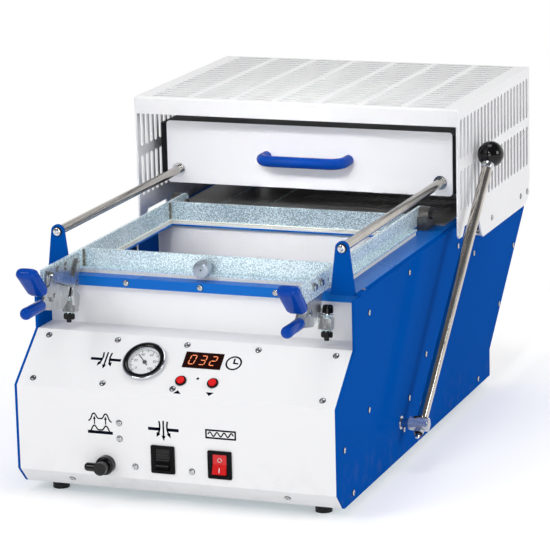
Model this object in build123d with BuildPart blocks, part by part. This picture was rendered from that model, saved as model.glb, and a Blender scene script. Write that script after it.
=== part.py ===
from build123d import *

import math
import os

# Desktop vacuum former for thermoplastic sheet.
#
# A sheet is clamped over a forming well, warmed by a heater that slides forward on two rods, and drawn by
# vacuum over a model that a hand lever lifts on a perforated table. All sizes are in millimetres.
# Machine axes: X across, Y from the front face to the back, Z up from the bench.

os.makedirs("parts", exist_ok=True)

# --- Sheet metal and general fits -------------------------------------------------------------
SIDE_T = 3.0  # side panels
SHEET_T = 2.0  # other casing sheets
THIN_T = 1.5  # heater and guard sheets
FLANGE = 15.0  # inward folds of the side panels
RUN_GAP = 0.05  # radial clearance of a shaft in its bush
FREE_GAP = 0.3  # clearance between parts that move past each other
HOLE_GAP = 0.05  # radial clearance of a screw in its hole

# --- Body casing ------------------------------------------------------------------------------
FOOT_H = 12.0
FOOT_R = 9.0
FOOT_STEM_R = 4.0
BODY_W = 360.0
SIDE_H = 209.0
CHAMFER_Y = 17.0
CHAMFER_H = 18.0
CREASE_H = 110.0
SLOPE_Y = 58.0
SLOPE_H = 47.0
LEDGE_Y = 36.0
LIP_OVERHANG = 10.0
LIP_H = 8.5
REAR_Y = 700.0
REAR_FOOT_Y = 547.0
REAR_FOOT_H = 32.0
REAR_TOP_H = 172.0
HOOD_STEP = 14.2  # of the hood's wall outside the side panel

HALF = BODY_W / 2
INNER = HALF - SIDE_T
HOOD_HALF = HALF + HOOD_STEP
BASE_Z = FOOT_H
SIDE_TOP = BASE_Z + SIDE_H
CREASE_Z = BASE_Z + CREASE_H
LEDGE_Z = CREASE_Z + SLOPE_H
RECESS_Y = SLOPE_Y + LEDGE_Y
LIP_Y = RECESS_Y - LIP_OVERHANG
DECK_Z = SIDE_TOP + SHEET_T
LIP_Z = SIDE_TOP - LIP_H

# --- Forming well, table and its lift ---------------------------------------------------------
WELL_INSET = 20.0  # of the well's wall from the body's side
APERTURE_LEDGE = 22.0  # of the deck inside the well's wall
APERTURE_Y = (112.0, 344.0)
TABLE_GAP_X = 6.0
TABLE_GAP_Y = 4.0
TABLE_T = 12.0
TABLE_HOLE_R = 1.5
TABLE_HOLE_PITCH = 16.0
LEVER_Y = 207.0
LEVER_H = 38.0
LIFT_R = 105.0
LIFT_START = -5.0  # degrees of the lift arms above level
LEVER_SWING = 65.0
SHAFT_R = 5.0
ARM_X = 98.0
ARM_T = 6.0
ARM_R = 10.0
ROLLER_R = 8.0
ROLLER_W = 11.0
YOKE_T = 8.0
SLOT_GAP = 0.6
POST_INSET = 11.0  # of a post from the well's wall
POST_Y = 250.0
POST_R = 6.0
BUSH_WALL = 2.4
BUSH_L = 30.0
CARRIAGE_DROP = 31.0

WELL_HALF = HALF - WELL_INSET
WELL_INNER = WELL_HALF - SHEET_T
APERTURE_HALF = WELL_HALF - APERTURE_LEDGE
POST_X = WELL_INNER - POST_INSET
WELL_Y = (APERTURE_Y[0] - 4.0, APERTURE_Y[1] + 8.0)
LEVER_Z = BASE_Z + LEVER_H
LIFT_TRAVEL = LIFT_R * (
    math.sin(math.radians(LIFT_START + LEVER_SWING)) - math.sin(math.radians(LIFT_START))
)
TABLE_TOP = SIDE_TOP - LIFT_TRAVEL
TABLE_HALF = APERTURE_HALF - TABLE_GAP_X
TABLE_Y = (APERTURE_Y[0] + TABLE_GAP_Y, APERTURE_Y[1] - TABLE_GAP_Y)
TABLE_UNDER = TABLE_TOP - TABLE_T


def lift_rise(turn):
    """Height of the roller above the shaft when the lever has turned by this many degrees."""
    return LIFT_R * math.sin(math.radians(LIFT_START + turn))


LIFT_BULGE = max(
    lift_rise(turn) - lift_rise(0) - LIFT_TRAVEL * turn / LEVER_SWING for turn in range(int(LEVER_SWING))
)
ROLLER_REST_Z = LEVER_Z + lift_rise(0)
SLOT_HALF = ROLLER_R + LIFT_BULGE / 2 + SLOT_GAP
SLOT_Z = ROLLER_REST_Z + LIFT_BULGE / 2

# --- Hand lever -------------------------------------------------------------------------------
LEVER_STAND_OFF = 22.0  # of the lever from the side panel
LEVER_LEAN = 43.9  # degrees back from upright at rest
LEVER_SPLAY = 1.6  # degrees outward, so that the ball clears the hood
LEVER_ROD_R = 6.0
LEVER_STUB_R = 3.5
LEVER_L = 348.0
BALL_R = 15.0
BALL_FLAT = 1.6
COLLAR_R = 6.8
COLLAR_L = 6.0
HUB_R = 7.4
HUB_L = 21.0
HUB_STAND_OFF = 9.5

LEVER_X = HALF + LEVER_STAND_OFF

# --- Clamp frame ------------------------------------------------------------------------------
SEAL_T = 2.0
SEAL_W = 12.0
FRAME_LAP = 6.5  # of the frame over the deck, beside the aperture
FRAME_T = 3.0
FRAME_RISE = 25.0  # of the frame's top above the deck
FRAME_FLANGE = 7.5
FRAME_FLANGE_T = 2.0
FRONT_FLANGE = 7.0
FRONT_BEAM_Y = 105.0
REAR_BEAM_Y = 348.0
MEMBER_FRONT_Y = 0.0
HINGE_Y = 395.0
HINGE_H = 15.0  # above the deck, as are the heights of the rods, heater and hood
HINGE_PIN_R = 4.0
HINGE_END_R = 10.3
HINGE_BLOCK_T = 12.0
KNOB_R = 9.0
KNOB_L = 10.0
KNOB_STEM_R = 5.0
KNOB_STEM_L = 8.0

FRAME_HALF = APERTURE_HALF + FRAME_LAP
FRAME_TOP = DECK_Z + FRAME_RISE
SEAL_Z = DECK_Z + SEAL_T
FRAME_Z = SEAL_Z + FREE_GAP + SEAL_T
HINGE_Z = DECK_Z + HINGE_H

# --- Toggle clamps ----------------------------------------------------------------------------
# At rest the grips are squeezed together and the hooks stand clear of the deck's lip. As the upper
# grip rises, the link pushes the hook back, and its cap goes under the lip.
CLAMP_PLATE_T = 2.5
CLAMP_LINK_T = 2.0
CLAMP_PIN_R = 2.5
LINK_W = 10.5
OPEN_PIVOT_GAP = 0.9  # the hook's pin wanders by 0.5 in the link's eye over the swing
CLAMP_HEAD_R = 4.5
CLAMP_HEAD_H = 2.0
CLAMP_BOLTS_Y = (34.0, 54.0)
CLAMP_BOLT_Z = DECK_Z + 17.0
HANDLE_PIVOT = (16.0, DECK_Z - 6.0)
HOOK_PIVOT = (80.0, DECK_Z + 14.2)
HOOK_PIN_DROP = (-6.0, -21.0)  # of the closed hook's pin from its pivot
HOOK_EYE_R = 5.2
LIP_CLEARANCE = 3.0  # of the closed hook's arm in front of the deck's lip
HOOK_BACK_Y = LIP_Y - LIP_CLEARANCE
HANDLE_SWING = 17.5
HOOK_SWING = 16.7
CRANK_R = 22.0
SPINDLE_OUT = 1.0  # of the spindle outside the frame's face
SPINDLE_Y = 82.5  # of the closed cap
SPINDLE_LEAN = 6.7  # degrees forward with the clamp closed
SPINDLE_R = 3.0
SPINDLE_L = 38.0
CAP_R = 5.8
CAP_L = 10.0
EYE_DROP = 14.0
EYE_L = 12.0
EYE_HALF = 5.5
NUT_L = 3.5
NUT_R = 5.0
STAR_DROP = 28.0
STAR_L = 6.5
STAR_R = 6.5
GRIP_IN = 1.5  # of the grips inside the frame's face
GRIP_W = 20.0
GRIP_T = 8.0
GRIP_L = 38.0
GRIP_SLANT = 135.0  # degrees from the rear, upward
GRIP_START = (-8.0, DECK_Z + 2.0)
FIXED_GRIP_R = 5.0
FIXED_GRIP_Z = DECK_Z - 12.0

SPINDLE_X = FRAME_HALF + SPINDLE_OUT
GRIP_X = FRAME_HALF - GRIP_IN
BODY_X = FRAME_HALF - FRAME_T - CLAMP_PLATE_T
ARM_LAYER_X = BODY_X - FREE_GAP - CLAMP_PLATE_T
LINK_LAYER_X = ARM_LAYER_X - FREE_GAP - CLAMP_LINK_T

# --- Guide rods and brackets ------------------------------------------------------------------
ROD_INSET = 20.0  # of a rod from the body's side
ROD_H = 47.5
ROD_R = 5.0
BRACKET_Y = 80.0
BRACKET_T = 3.0
BRACKET_TOP_R = 7.5
BRACKET_FOOT_HALF = 13.5
REAR_BRACKET_Y = 668.0
ROD_SCREW_R = 2.5
ROD_SCREW_L = 12.0

ROD_X = HALF - ROD_INSET
ROD_Z = DECK_Z + ROD_H
ROD_Y = (BRACKET_Y + BRACKET_T, REAR_BRACKET_Y - BRACKET_T)

# --- Heater -----------------------------------------------------------------------------------
HEATER_Y = 422.0
PANEL_INSET = 6.0  # of the panel's end from the body's side
PANEL_H = (32.0, 105.0)
PANEL_CORNER = 4.0
BOX_GAP = 10.2  # between the box and the hood's wall
BOX_L = 236.0
BOX_H = (35.0, 102.0)
HEATER_BUSH_R = 8.0
HEATER_BUSH_L = 14.0
ELEMENT_COUNT = 6
ELEMENT_W = 24.0
ELEMENT_L = 250.0
ELEMENT_T = 7.0
ELEMENT_DROP = 22.0
HANDLE_HALF = 50.0
HANDLE_REACH = 28.0
HANDLE_R = 6.4
HANDLE_BEND = 16.0
HANDLE_H = 68.0

BOX_Y = (HEATER_Y + SHEET_T, HEATER_Y + SHEET_T + BOX_L)
BOX_Z = (DECK_Z + BOX_H[0], DECK_Z + BOX_H[1])
PANEL_HALF = HALF - PANEL_INSET
BOX_HALF = HOOD_HALF - SHEET_T - BOX_GAP

# --- Hood -------------------------------------------------------------------------------------
HOOD_Y = (376.0, 675.0)
HOOD_H = 140.3
HOOD_BAND_H = 19.4
HOOD_SKIRT_H = -25.0
HOOD_TAB_H = -7.0
LOUVRE_W = 7.4
TOP_LOUVRE_L = 45.5
TOP_LOUVRE_PITCH = (51.5, 13.7)
TOP_LOUVRES = (7, 21)
SIDE_LOUVRE_L = 48.0
SIDE_LOUVRE_PITCH = (13.6, 58.0)
SIDE_LOUVRES = (21, 2)
SIDE_LOUVRE_H = 74.5
REAR_LOUVRES = (25, 2)

HOOD_TOP = DECK_Z + HOOD_H
LOUVRE_MID_Y = (HOOD_Y[0] + HOOD_Y[1]) / 2 + 1.5

SHIELD_NECK = 4.0  # of the guard sheet inside the aperture's side, between the hinge blocks
SHIELD_INSET = 12.0  # from the body's side, behind them
SHIELD_GAP = 17.0
SHIELD_REAR_GAP = 16.0

# --- Controls, as places on the sloped face (across, up the slope) and the front face (X, height) --
GAUGE_AT = (-43.0, 40.0)
GAUGE_R = 23.5
GAUGE_BODY_R = 20.0
GAUGE_BODY_L = 26.0
GAUGE_RIM_H = 5.0
GLASS_R = 18.0
GLASS_T = 1.2
DIAL_T = 1.0
DIAL_DEPTH = 1.5
NEEDLE_L = 13.5
NEEDLE_TAIL = 5.0
TIMER_AT = (20.2, 48.0)
TIMER_SIZE = (42.5, 20.0)
TIMER_L = 30.0
WINDOW_PROUD = 0.8
BUTTONS_AT = ((3.3, 20.4), (38.8, 20.4))
BUTTON_R = 4.2
BUTTON_RING_R = 6.0
BUTTON_PROUD = 3.0
BUTTON_TRAVEL = 1.5
VACUUM_SWITCH_AT = (-12.8, 41.5)
HEATER_SWITCH_AT = (50.6, 41.0)
SWITCH_SIZE = (26.4, 30.0)
ROCKER_SIZE = (15.2, 21.0)
SWITCH_RIM_T = 1.8
SWITCH_BODY_L = 24.0
ROCKER_TILT = 10.0
ROCKER_PIVOT_DEPTH = 2.0
ROCKER_PIN_R = 1.2
ROCKER_PIN_L = 1.5  # of each pin in the housing's wall
RELEASE_AT = (-77.0, 31.0)
RELEASE_BASE_R = 10.0
RELEASE_BASE_L = 9.0
RELEASE_REACH = 19.0
RELEASE_ARM_R = 4.6
RELEASE_HUB_R = 7.0
RELEASE_STEM_R = 3.0

# --- Fasteners --------------------------------------------------------------------------------
SCREW_R = 1.75
HEAD_R = 3.6
HEAD_H = 1.8
SCREW_L = 7.0
SIDE_SCREWS = (
    (104.0, 186.0),
    (99.0, 82.5),
    (18.5, 62.0),
    (44.0, 9.0),
    (235.0, 58.0),
    (296.5, 91.5),
    (215.0, 28.0),
    (497.0, 9.0),
    (241.0, 197.0),
    (422.0, 186.0),
    (484.0, 163.5),
    (587.0, 78.0),
    (650.0, 136.0),
)
HOOD_SCREWS = ((512.0, -10.5), (635.0, -10.5), (664.0, -10.5))  # heights from the deck
SLOPE_EDGE_X = HALF - 18.5
SLOPE_SCREWS = (
    (-SLOPE_EDGE_X, 66.5),
    (-82.0, 66.5),
    (-3.0, 66.5),
    (76.4, 66.5),
    (SLOPE_EDGE_X, 66.5),
    (-SLOPE_EDGE_X, 10.0),
    (-82.0, 10.0),
    (-3.0, 10.0),
    (SLOPE_EDGE_X, 10.0),
)
FRONT_SCREWS = ((-61.5, 77.0), (-61.5, 60.0), (-44.5, 31.0), (19.0, 31.0))
LIP_SCREWS = (-84.5, 0.0, 84.5)
CHAMFER_SCREWS = (-121.0, 121.0)

# --- Inside the body --------------------------------------------------------------------------
PUMP_R = 42.0
PUMP_L = 130.0
PUMP_Y = 450.0
PUMP_BED = 10.0
PIPE_R = 8.0
PIPE_H = 82.0
INLET_X = -110.0
INLET_SIZE = (30.0, 22.0)
INLET_SOCKET = (24.0, 16.0)
INLET_DEPTH = 14.0

# The origin is the middle of the whole machine's footprint at rest.
FRONT_REACH = -42.0
BALL_X = LEVER_X + LEVER_L * math.sin(math.radians(LEVER_SPLAY))
CENTRE_X = (BALL_X + BALL_R - HOOD_HALF - HEAD_H) / 2
CENTRE_Y = (FRONT_REACH + REAR_Y) / 2
HOME = Location((-CENTRE_X, -CENTRE_Y, 0))

MIRROR_SIDES = (("left", -1), ("right", 1))
SLOPE_L = math.hypot(SLOPE_Y, SLOPE_H)
SLOPE_PLANE = Plane(
    origin=(0, 0, CREASE_Z), x_dir=(1, 0, 0), z_dir=(0, -SLOPE_H / SLOPE_L, SLOPE_Y / SLOPE_L)
)
FRONT_PLANE = Plane(origin=(0, 0, BASE_Z), x_dir=(1, 0, 0), z_dir=(0, -1, 0))
CHAMFER_L = math.hypot(CHAMFER_Y, CHAMFER_H)
CHAMFER_PLANE = Plane(
    origin=(0, CHAMFER_Y, BASE_Z), x_dir=(1, 0, 0), z_dir=(0, -CHAMFER_H / CHAMFER_L, -CHAMFER_Y / CHAMFER_L)
)


# --- Helpers ----------------------------------------------------------------------------------
def slab(x, y, z, mode=Mode.ADD):
    """Adds or cuts a box that spans three (low, high) pairs."""
    with Locations(((x[0] + x[1]) / 2, (y[0] + y[1]) / 2, (z[0] + z[1]) / 2)):
        Box(x[1] - x[0], y[1] - y[0], z[1] - z[0], mode=mode)


def bar(axis, span, at, radius, mode=Mode.ADD):
    """Adds or cuts a round bar along an axis, over a (low, high) span, centred on the other two."""
    middle = (span[0] + span[1]) / 2
    centre, turn = {
        "X": ((middle, at[0], at[1]), (0, 90, 0)),
        "Y": ((at[0], middle, at[1]), (90, 0, 0)),
        "Z": ((at[0], at[1], middle), (0, 0, 0)),
    }[axis]
    with Locations(Location(centre, turn)):
        Cylinder(radius, span[1] - span[0], mode=mode)


def side_plate(points, x, mode=Mode.ADD):
    """Adds or cuts a plate with a (Y, Z) outline between two X values."""
    with BuildSketch(Plane.YZ.offset(x[0])) as outline:
        with BuildLine():
            Polyline(*points, close=True)
        make_face()
    extrude(outline.sketch, amount=x[1] - x[0], mode=mode)


def bent_sheet(points, thickness, half_width):
    """Adds a sheet folded along a (Y, Z) line, with its thickness on the left of the line."""
    with BuildSketch(Plane.YZ.offset(-half_width)) as fold:
        with BuildLine():
            Polyline(*points)
            offset(amount=thickness, side=Side.LEFT)
        make_face()
    extrude(fold.sketch, amount=2 * half_width)


def span_of(centre, size):
    """The (low, high) pair of a length about its middle."""
    return (centre - size / 2, centre + size / 2)


def ordered(first, second):
    """A (low, high) pair from two values in any order."""
    return (min(first, second), max(first, second))


def turned(point, pivot, degrees):
    """A (Y, Z) point turned about a pivot, the way a positive turn about +X moves it."""
    angle = math.radians(degrees)
    y, z = point[0] - pivot[0], point[1] - pivot[1]
    return (
        pivot[0] + y * math.cos(angle) - z * math.sin(angle),
        pivot[1] + y * math.sin(angle) + z * math.cos(angle),
    )


def keep(builder, label):
    """Names a finished piece, moves it to the machine's origin and writes it."""
    builder.part.label = label
    export_step(builder.part.moved(HOME), f"parts/{label}.step")


# --- Body casing ------------------------------------------------------------------------------
SIDE_OUTLINE = (
    (CHAMFER_Y, BASE_Z),
    (0, BASE_Z + CHAMFER_H),
    (0, CREASE_Z),
    (SLOPE_Y, LEDGE_Z),
    (SLOPE_Y, SIDE_TOP),
    (REAR_Y, SIDE_TOP),
    (REAR_Y, BASE_Z + REAR_TOP_H),
    (REAR_FOOT_Y, BASE_Z + REAR_FOOT_H),
    (REAR_FOOT_Y, BASE_Z),
)
BUSH_R = SHAFT_R + BUSH_WALL

for side, sign in MIRROR_SIDES:
    with BuildPart() as side_panel:
        side_plate(SIDE_OUTLINE, ordered(sign * INNER, sign * HALF))
        flange_x = ordered(sign * (INNER - FLANGE), sign * INNER)
        slab(flange_x, (RECESS_Y + SHEET_T, REAR_Y - SHEET_T), (SIDE_TOP - SIDE_T, SIDE_TOP))
        slab(
            flange_x,
            (CHAMFER_Y + SIDE_T, REAR_FOOT_Y - SIDE_T),
            (BASE_Z + SHEET_T, BASE_Z + SHEET_T + SIDE_T),
        )
        bar("X", ordered(sign * INNER, sign * HALF), (LEVER_Y, LEVER_Z), BUSH_R, Mode.SUBTRACT)
        screw_holes = [(y, BASE_Z + height) for y, height in SIDE_SCREWS]
        screw_holes += [(y, DECK_Z + height) for y, height in HOOD_SCREWS]
        hole_x = ordered(sign * (INNER - FLANGE), sign * HALF)
        for place in screw_holes:
            bar("X", hole_x, place, SCREW_R + HOLE_GAP, Mode.SUBTRACT)
    keep(side_panel, f"side_panel_{side}")

with BuildPart() as control_panel:
    bent_sheet(
        (
            (CHAMFER_Y, BASE_Z),
            (0, BASE_Z + CHAMFER_H),
            (0, CREASE_Z),
            (SLOPE_Y, LEDGE_Z),
            (RECESS_Y, LEDGE_Z),
            (RECESS_Y, SIDE_TOP - SIDE_T),
        )[::-1],
        SHEET_T,
        INNER,
    )
    with BuildSketch(SLOPE_PLANE):
        with Locations(GAUGE_AT):
            Circle(GAUGE_BODY_R + HOLE_GAP)
        with Locations(TIMER_AT):
            Rectangle(TIMER_SIZE[0] + 2 * HOLE_GAP, TIMER_SIZE[1] + 2 * HOLE_GAP)
        with Locations(*BUTTONS_AT):
            Circle(BUTTON_RING_R + HOLE_GAP)
        with Locations(*SLOPE_SCREWS):
            Circle(SCREW_R + HOLE_GAP)
    extrude(amount=SHEET_T, both=True, mode=Mode.SUBTRACT)
    with BuildSketch(FRONT_PLANE):
        with Locations(VACUUM_SWITCH_AT, HEATER_SWITCH_AT):
            Rectangle(SWITCH_SIZE[0] - 3, SWITCH_SIZE[1] - 3)
        with Locations(RELEASE_AT):
            Circle(RELEASE_BASE_R - 3)
        with Locations(*FRONT_SCREWS):
            Circle(SCREW_R + HOLE_GAP)
    extrude(amount=SHEET_T, both=True, mode=Mode.SUBTRACT)
    with BuildSketch(CHAMFER_PLANE):
        with Locations(*[(x, CHAMFER_L / 2) for x in CHAMFER_SCREWS]):
            Circle(SCREW_R + HOLE_GAP)
    extrude(amount=SHEET_T, both=True, mode=Mode.SUBTRACT)
keep(control_panel, "control_panel")

with BuildPart() as base_plate:
    slab((-INNER, INNER), (CHAMFER_Y + SIDE_T, REAR_FOOT_Y - SIDE_T), (BASE_Z, BASE_Z + SHEET_T))
keep(base_plate, "base_plate")

with BuildPart() as rear_panel:
    bent_sheet(
        (
            (REAR_FOOT_Y, BASE_Z),
            (REAR_FOOT_Y, BASE_Z + REAR_FOOT_H),
            (REAR_Y, BASE_Z + REAR_TOP_H),
            (REAR_Y, SIDE_TOP),
        ),
        SHEET_T,
        INNER,
    )
    inlet_z = BASE_Z + SHEET_T + INLET_SIZE[1] / 2 + 2
    slab(
        span_of(INLET_X, INLET_SIZE[0] - 4),
        (REAR_FOOT_Y - SHEET_T, REAR_FOOT_Y),
        span_of(inlet_z, INLET_SIZE[1] - 4),
        Mode.SUBTRACT,
    )
keep(rear_panel, "rear_panel")

FOOT_PLACES = [(sx * (HALF - 31), y) for sx in (-1, 1) for y in (40.0, REAR_FOOT_Y - 35.0)]
with BuildPart() as feet:
    for x, y in FOOT_PLACES:
        bar("Z", (0, FOOT_H * 0.45), (x, y), FOOT_R)
        bar("Z", (FOOT_H * 0.45, FOOT_H), (x, y), FOOT_STEM_R)
keep(feet, "feet")

DECK_HALF = INNER - 3
with BuildPart() as deck_plate:
    slab((-DECK_HALF, DECK_HALF), (LIP_Y, REAR_Y - SHEET_T), (SIDE_TOP, DECK_Z))
    slab((-DECK_HALF, DECK_HALF), (LIP_Y, LIP_Y + SHEET_T), (LIP_Z, SIDE_TOP))
    slab((-DECK_HALF, DECK_HALF), (LIP_Y, RECESS_Y - FREE_GAP), (LIP_Z, LIP_Z + SHEET_T))
    slab((-APERTURE_HALF, APERTURE_HALF), APERTURE_Y, (SIDE_TOP, DECK_Z), Mode.SUBTRACT)
    for x in LIP_SCREWS:
        bar(
            "Y",
            (LIP_Y, LIP_Y + SHEET_T),
            (x, (LIP_Z + DECK_Z) / 2),
            SCREW_R + HOLE_GAP,
            Mode.SUBTRACT,
        )
keep(deck_plate, "deck_plate")

with BuildPart() as well_walls:
    slab((-WELL_HALF, WELL_HALF), WELL_Y, (BASE_Z + SHEET_T, SIDE_TOP))
    slab(
        (-WELL_INNER, WELL_INNER),
        (WELL_Y[0] + SHEET_T, WELL_Y[1] - SHEET_T),
        (BASE_Z + SHEET_T, SIDE_TOP),
        Mode.SUBTRACT,
    )
    for sign in (-1, 1):
        wall_x = ordered(sign * WELL_INNER, sign * WELL_HALF)
        bar("X", wall_x, (LEVER_Y, LEVER_Z), BUSH_R, Mode.SUBTRACT)
    bar("Y", (WELL_Y[1] - SHEET_T, WELL_Y[1]), (0, BASE_Z + PIPE_H), PIPE_R, Mode.SUBTRACT)
keep(well_walls, "well_walls")

with BuildPart() as shaft_bushes:
    for sign in (-1, 1):
        for x in (ordered(sign * WELL_INNER, sign * WELL_HALF), ordered(sign * INNER, sign * HALF)):
            bar("X", x, (LEVER_Y, LEVER_Z), BUSH_R)
            bar("X", x, (LEVER_Y, LEVER_Z), SHAFT_R + RUN_GAP, Mode.SUBTRACT)
keep(shaft_bushes, "shaft_bushes")

# --- Hood -------------------------------------------------------------------------------------
HOOD_INNER = HOOD_HALF - SHEET_T
with BuildPart() as hood_cover:
    slab((-HOOD_HALF, HOOD_HALF), HOOD_Y, (HOOD_TOP - SHEET_T, HOOD_TOP))
    slab(
        (-HOOD_HALF, HOOD_HALF),
        (HOOD_Y[0], HOOD_Y[0] + SHEET_T),
        (HOOD_TOP - HOOD_BAND_H, HOOD_TOP - SHEET_T),
    )
    slab(
        (-HOOD_HALF, HOOD_HALF),
        (HOOD_Y[1] - SHEET_T, HOOD_Y[1]),
        (DECK_Z, HOOD_TOP - SHEET_T),
    )
    top_edges = edges().filter_by(Axis.X).group_by(Axis.Z)[-1]
    fillet(top_edges, SHEET_T)
    with BuildSketch(Plane.XY.offset(HOOD_TOP)):
        with Locations((0, LOUVRE_MID_Y)):
            with GridLocations(*TOP_LOUVRE_PITCH, *TOP_LOUVRES):
                SlotOverall(TOP_LOUVRE_L, LOUVRE_W)
    extrude(amount=-SHEET_T, mode=Mode.SUBTRACT)
    with BuildSketch(Plane.XZ.offset(-HOOD_Y[1])):
        with Locations((0, DECK_Z + SIDE_LOUVRE_H)):
            with GridLocations(*SIDE_LOUVRE_PITCH, *REAR_LOUVRES):
                SlotOverall(SIDE_LOUVRE_L, LOUVRE_W, rotation=90)
    extrude(amount=SHEET_T, mode=Mode.SUBTRACT)
keep(hood_cover, "hood_cover")

HOOD_SIDE_OUTLINE = (
    (HOOD_Y[0] + SHEET_T, HOOD_TOP - SHEET_T),
    (HOOD_Y[0] + SHEET_T, DECK_Z + HOOD_TAB_H + 4),
    (HOOD_Y[0] + 6, DECK_Z + HOOD_TAB_H),
    (HOOD_Y[0] + 18, DECK_Z + HOOD_TAB_H),
    (HOOD_Y[0] + 26, DECK_Z + HOOD_TAB_H + 10),
    (HOOD_Y[0] + 82, DECK_Z + HOOD_TAB_H + 10),
    (HOOD_Y[0] + 92, DECK_Z + HOOD_SKIRT_H + 6),
    (HOOD_Y[0] + 100, DECK_Z + HOOD_SKIRT_H),
    (HOOD_Y[1] - 20, DECK_Z + HOOD_SKIRT_H),
    (HOOD_Y[1] - SHEET_T, DECK_Z + HOOD_SKIRT_H + 10),
    (HOOD_Y[1] - SHEET_T, HOOD_TOP - SHEET_T),
)
with BuildPart() as hood_sides:
    for sign in (-1, 1):
        wall_x = ordered(sign * HOOD_INNER, sign * HOOD_HALF)
        side_plate(HOOD_SIDE_OUTLINE, wall_x)
        slab(
            ordered(sign * HALF, sign * HOOD_INNER),
            (HOOD_Y[0] + 104, HOOD_Y[1] - 24),
            (DECK_Z + HOOD_SKIRT_H, DECK_Z + HOOD_SKIRT_H + SHEET_T),
        )
        for y, height in HOOD_SCREWS:
            bar("X", ordered(sign * HALF, sign * HOOD_INNER), (y, DECK_Z + height), HEAD_R)
            hole_x = ordered(sign * HALF, sign * HOOD_HALF)
            bar("X", hole_x, (y, DECK_Z + height), SCREW_R + HOLE_GAP, Mode.SUBTRACT)
    with BuildSketch(Plane.YZ.offset(-HOOD_HALF)):
        with Locations((LOUVRE_MID_Y, DECK_Z + SIDE_LOUVRE_H)):
            with GridLocations(*SIDE_LOUVRE_PITCH, *SIDE_LOUVRES):
                SlotOverall(SIDE_LOUVRE_L, LOUVRE_W, rotation=90)
    extrude(amount=2 * HOOD_HALF, mode=Mode.SUBTRACT)
keep(hood_sides, "hood_sides")

SHIELD_STEP_Y = HINGE_Y + SHIELD_GAP
with BuildPart() as heat_shield:
    shield_z = (DECK_Z, DECK_Z + SHEET_T)
    slab(span_of(0, 2 * (APERTURE_HALF - SHIELD_NECK)), (REAR_BEAM_Y + SHIELD_GAP, SHIELD_STEP_Y), shield_z)
    slab(span_of(0, 2 * (HALF - SHIELD_INSET)), (SHIELD_STEP_Y, REAR_BRACKET_Y - SHIELD_REAR_GAP), shield_z)
keep(heat_shield, "heat_shield")

# --- Guide rods and their brackets ------------------------------------------------------------
BRACKET_FOOT_Z = SIDE_TOP


def bracket_outline(centre_x, foot_z):
    """Adds the face of a tapered bracket, round at the top, about a rod's place."""
    with BuildLine() as face_edge:
        foot_left = (centre_x - BRACKET_FOOT_HALF, foot_z)
        foot_right = (centre_x + BRACKET_FOOT_HALF, foot_z)
        shoulder_left = (centre_x - BRACKET_TOP_R, ROD_Z)
        shoulder_right = (centre_x + BRACKET_TOP_R, ROD_Z)
        Line(foot_left, foot_right)
        Line(foot_right, shoulder_right)
        ThreePointArc(shoulder_right, (centre_x, ROD_Z + BRACKET_TOP_R), shoulder_left)
        Line(shoulder_left, foot_left)
    make_face(face_edge.edges())


with BuildPart() as rod_brackets:
    for sign in (-1, 1):
        with BuildSketch(Plane.XZ.offset(-BRACKET_Y - BRACKET_T)):
            bracket_outline(sign * ROD_X, BRACKET_FOOT_Z)
        extrude(amount=BRACKET_T)
        foot_x = ordered(sign * (DECK_HALF + FREE_GAP), sign * HALF)
        slab(foot_x, (BRACKET_Y, BRACKET_Y + 24), (SIDE_TOP, SIDE_TOP + BRACKET_T))
        with BuildSketch(Plane.XZ.offset(-REAR_BRACKET_Y)):
            bracket_outline(sign * ROD_X, DECK_Z)
        extrude(amount=BRACKET_T)
        slab(
            span_of(sign * ROD_X, 2 * BRACKET_FOOT_HALF),
            (REAR_BRACKET_Y - 14, REAR_BRACKET_Y),
            (DECK_Z, DECK_Z + BRACKET_T),
        )
        for y in (BRACKET_Y, REAR_BRACKET_Y - BRACKET_T):
            bar(
                "Y",
                (y, y + BRACKET_T),
                (sign * ROD_X, ROD_Z),
                ROD_SCREW_R + HOLE_GAP,
                Mode.SUBTRACT,
            )
keep(rod_brackets, "rod_brackets")

with BuildPart() as guide_rods:
    for sign in (-1, 1):
        bar("Y", ROD_Y, (sign * ROD_X, ROD_Z), ROD_R)
        for end in ((ROD_Y[0], ROD_Y[0] + ROD_SCREW_L), (ROD_Y[1] - ROD_SCREW_L, ROD_Y[1])):
            bar("Y", end, (sign * ROD_X, ROD_Z), ROD_SCREW_R + HOLE_GAP, Mode.SUBTRACT)
keep(guide_rods, "guide_rods")

# --- Heater -----------------------------------------------------------------------------------
with BuildPart() as heater_panel:
    panel_z = ((PANEL_H[0] + PANEL_H[1]) / 2 + DECK_Z, PANEL_H[1] - PANEL_H[0])
    with BuildSketch(Plane.XZ.offset(-HEATER_Y)):
        with Locations((0, panel_z[0])):
            RectangleRounded(2 * PANEL_HALF, panel_z[1], PANEL_CORNER)
        with Locations((-ROD_X, ROD_Z), (ROD_X, ROD_Z)):
            Circle(HEATER_BUSH_R, mode=Mode.SUBTRACT)
    extrude(amount=-SHEET_T)
keep(heater_panel, "heater_panel")

with BuildPart() as heater_box:
    slab((-BOX_HALF, BOX_HALF), BOX_Y, BOX_Z)
    slab(
        (-BOX_HALF + THIN_T, BOX_HALF - THIN_T),
        (BOX_Y[0] + THIN_T, BOX_Y[1] - THIN_T),
        (BOX_Z[0], BOX_Z[1] - THIN_T),
        Mode.SUBTRACT,
    )
    for sign in (-1, 1):
        bar("Y", BOX_Y, (sign * ROD_X, ROD_Z), HEATER_BUSH_R, Mode.SUBTRACT)
keep(heater_box, "heater_box")

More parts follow.
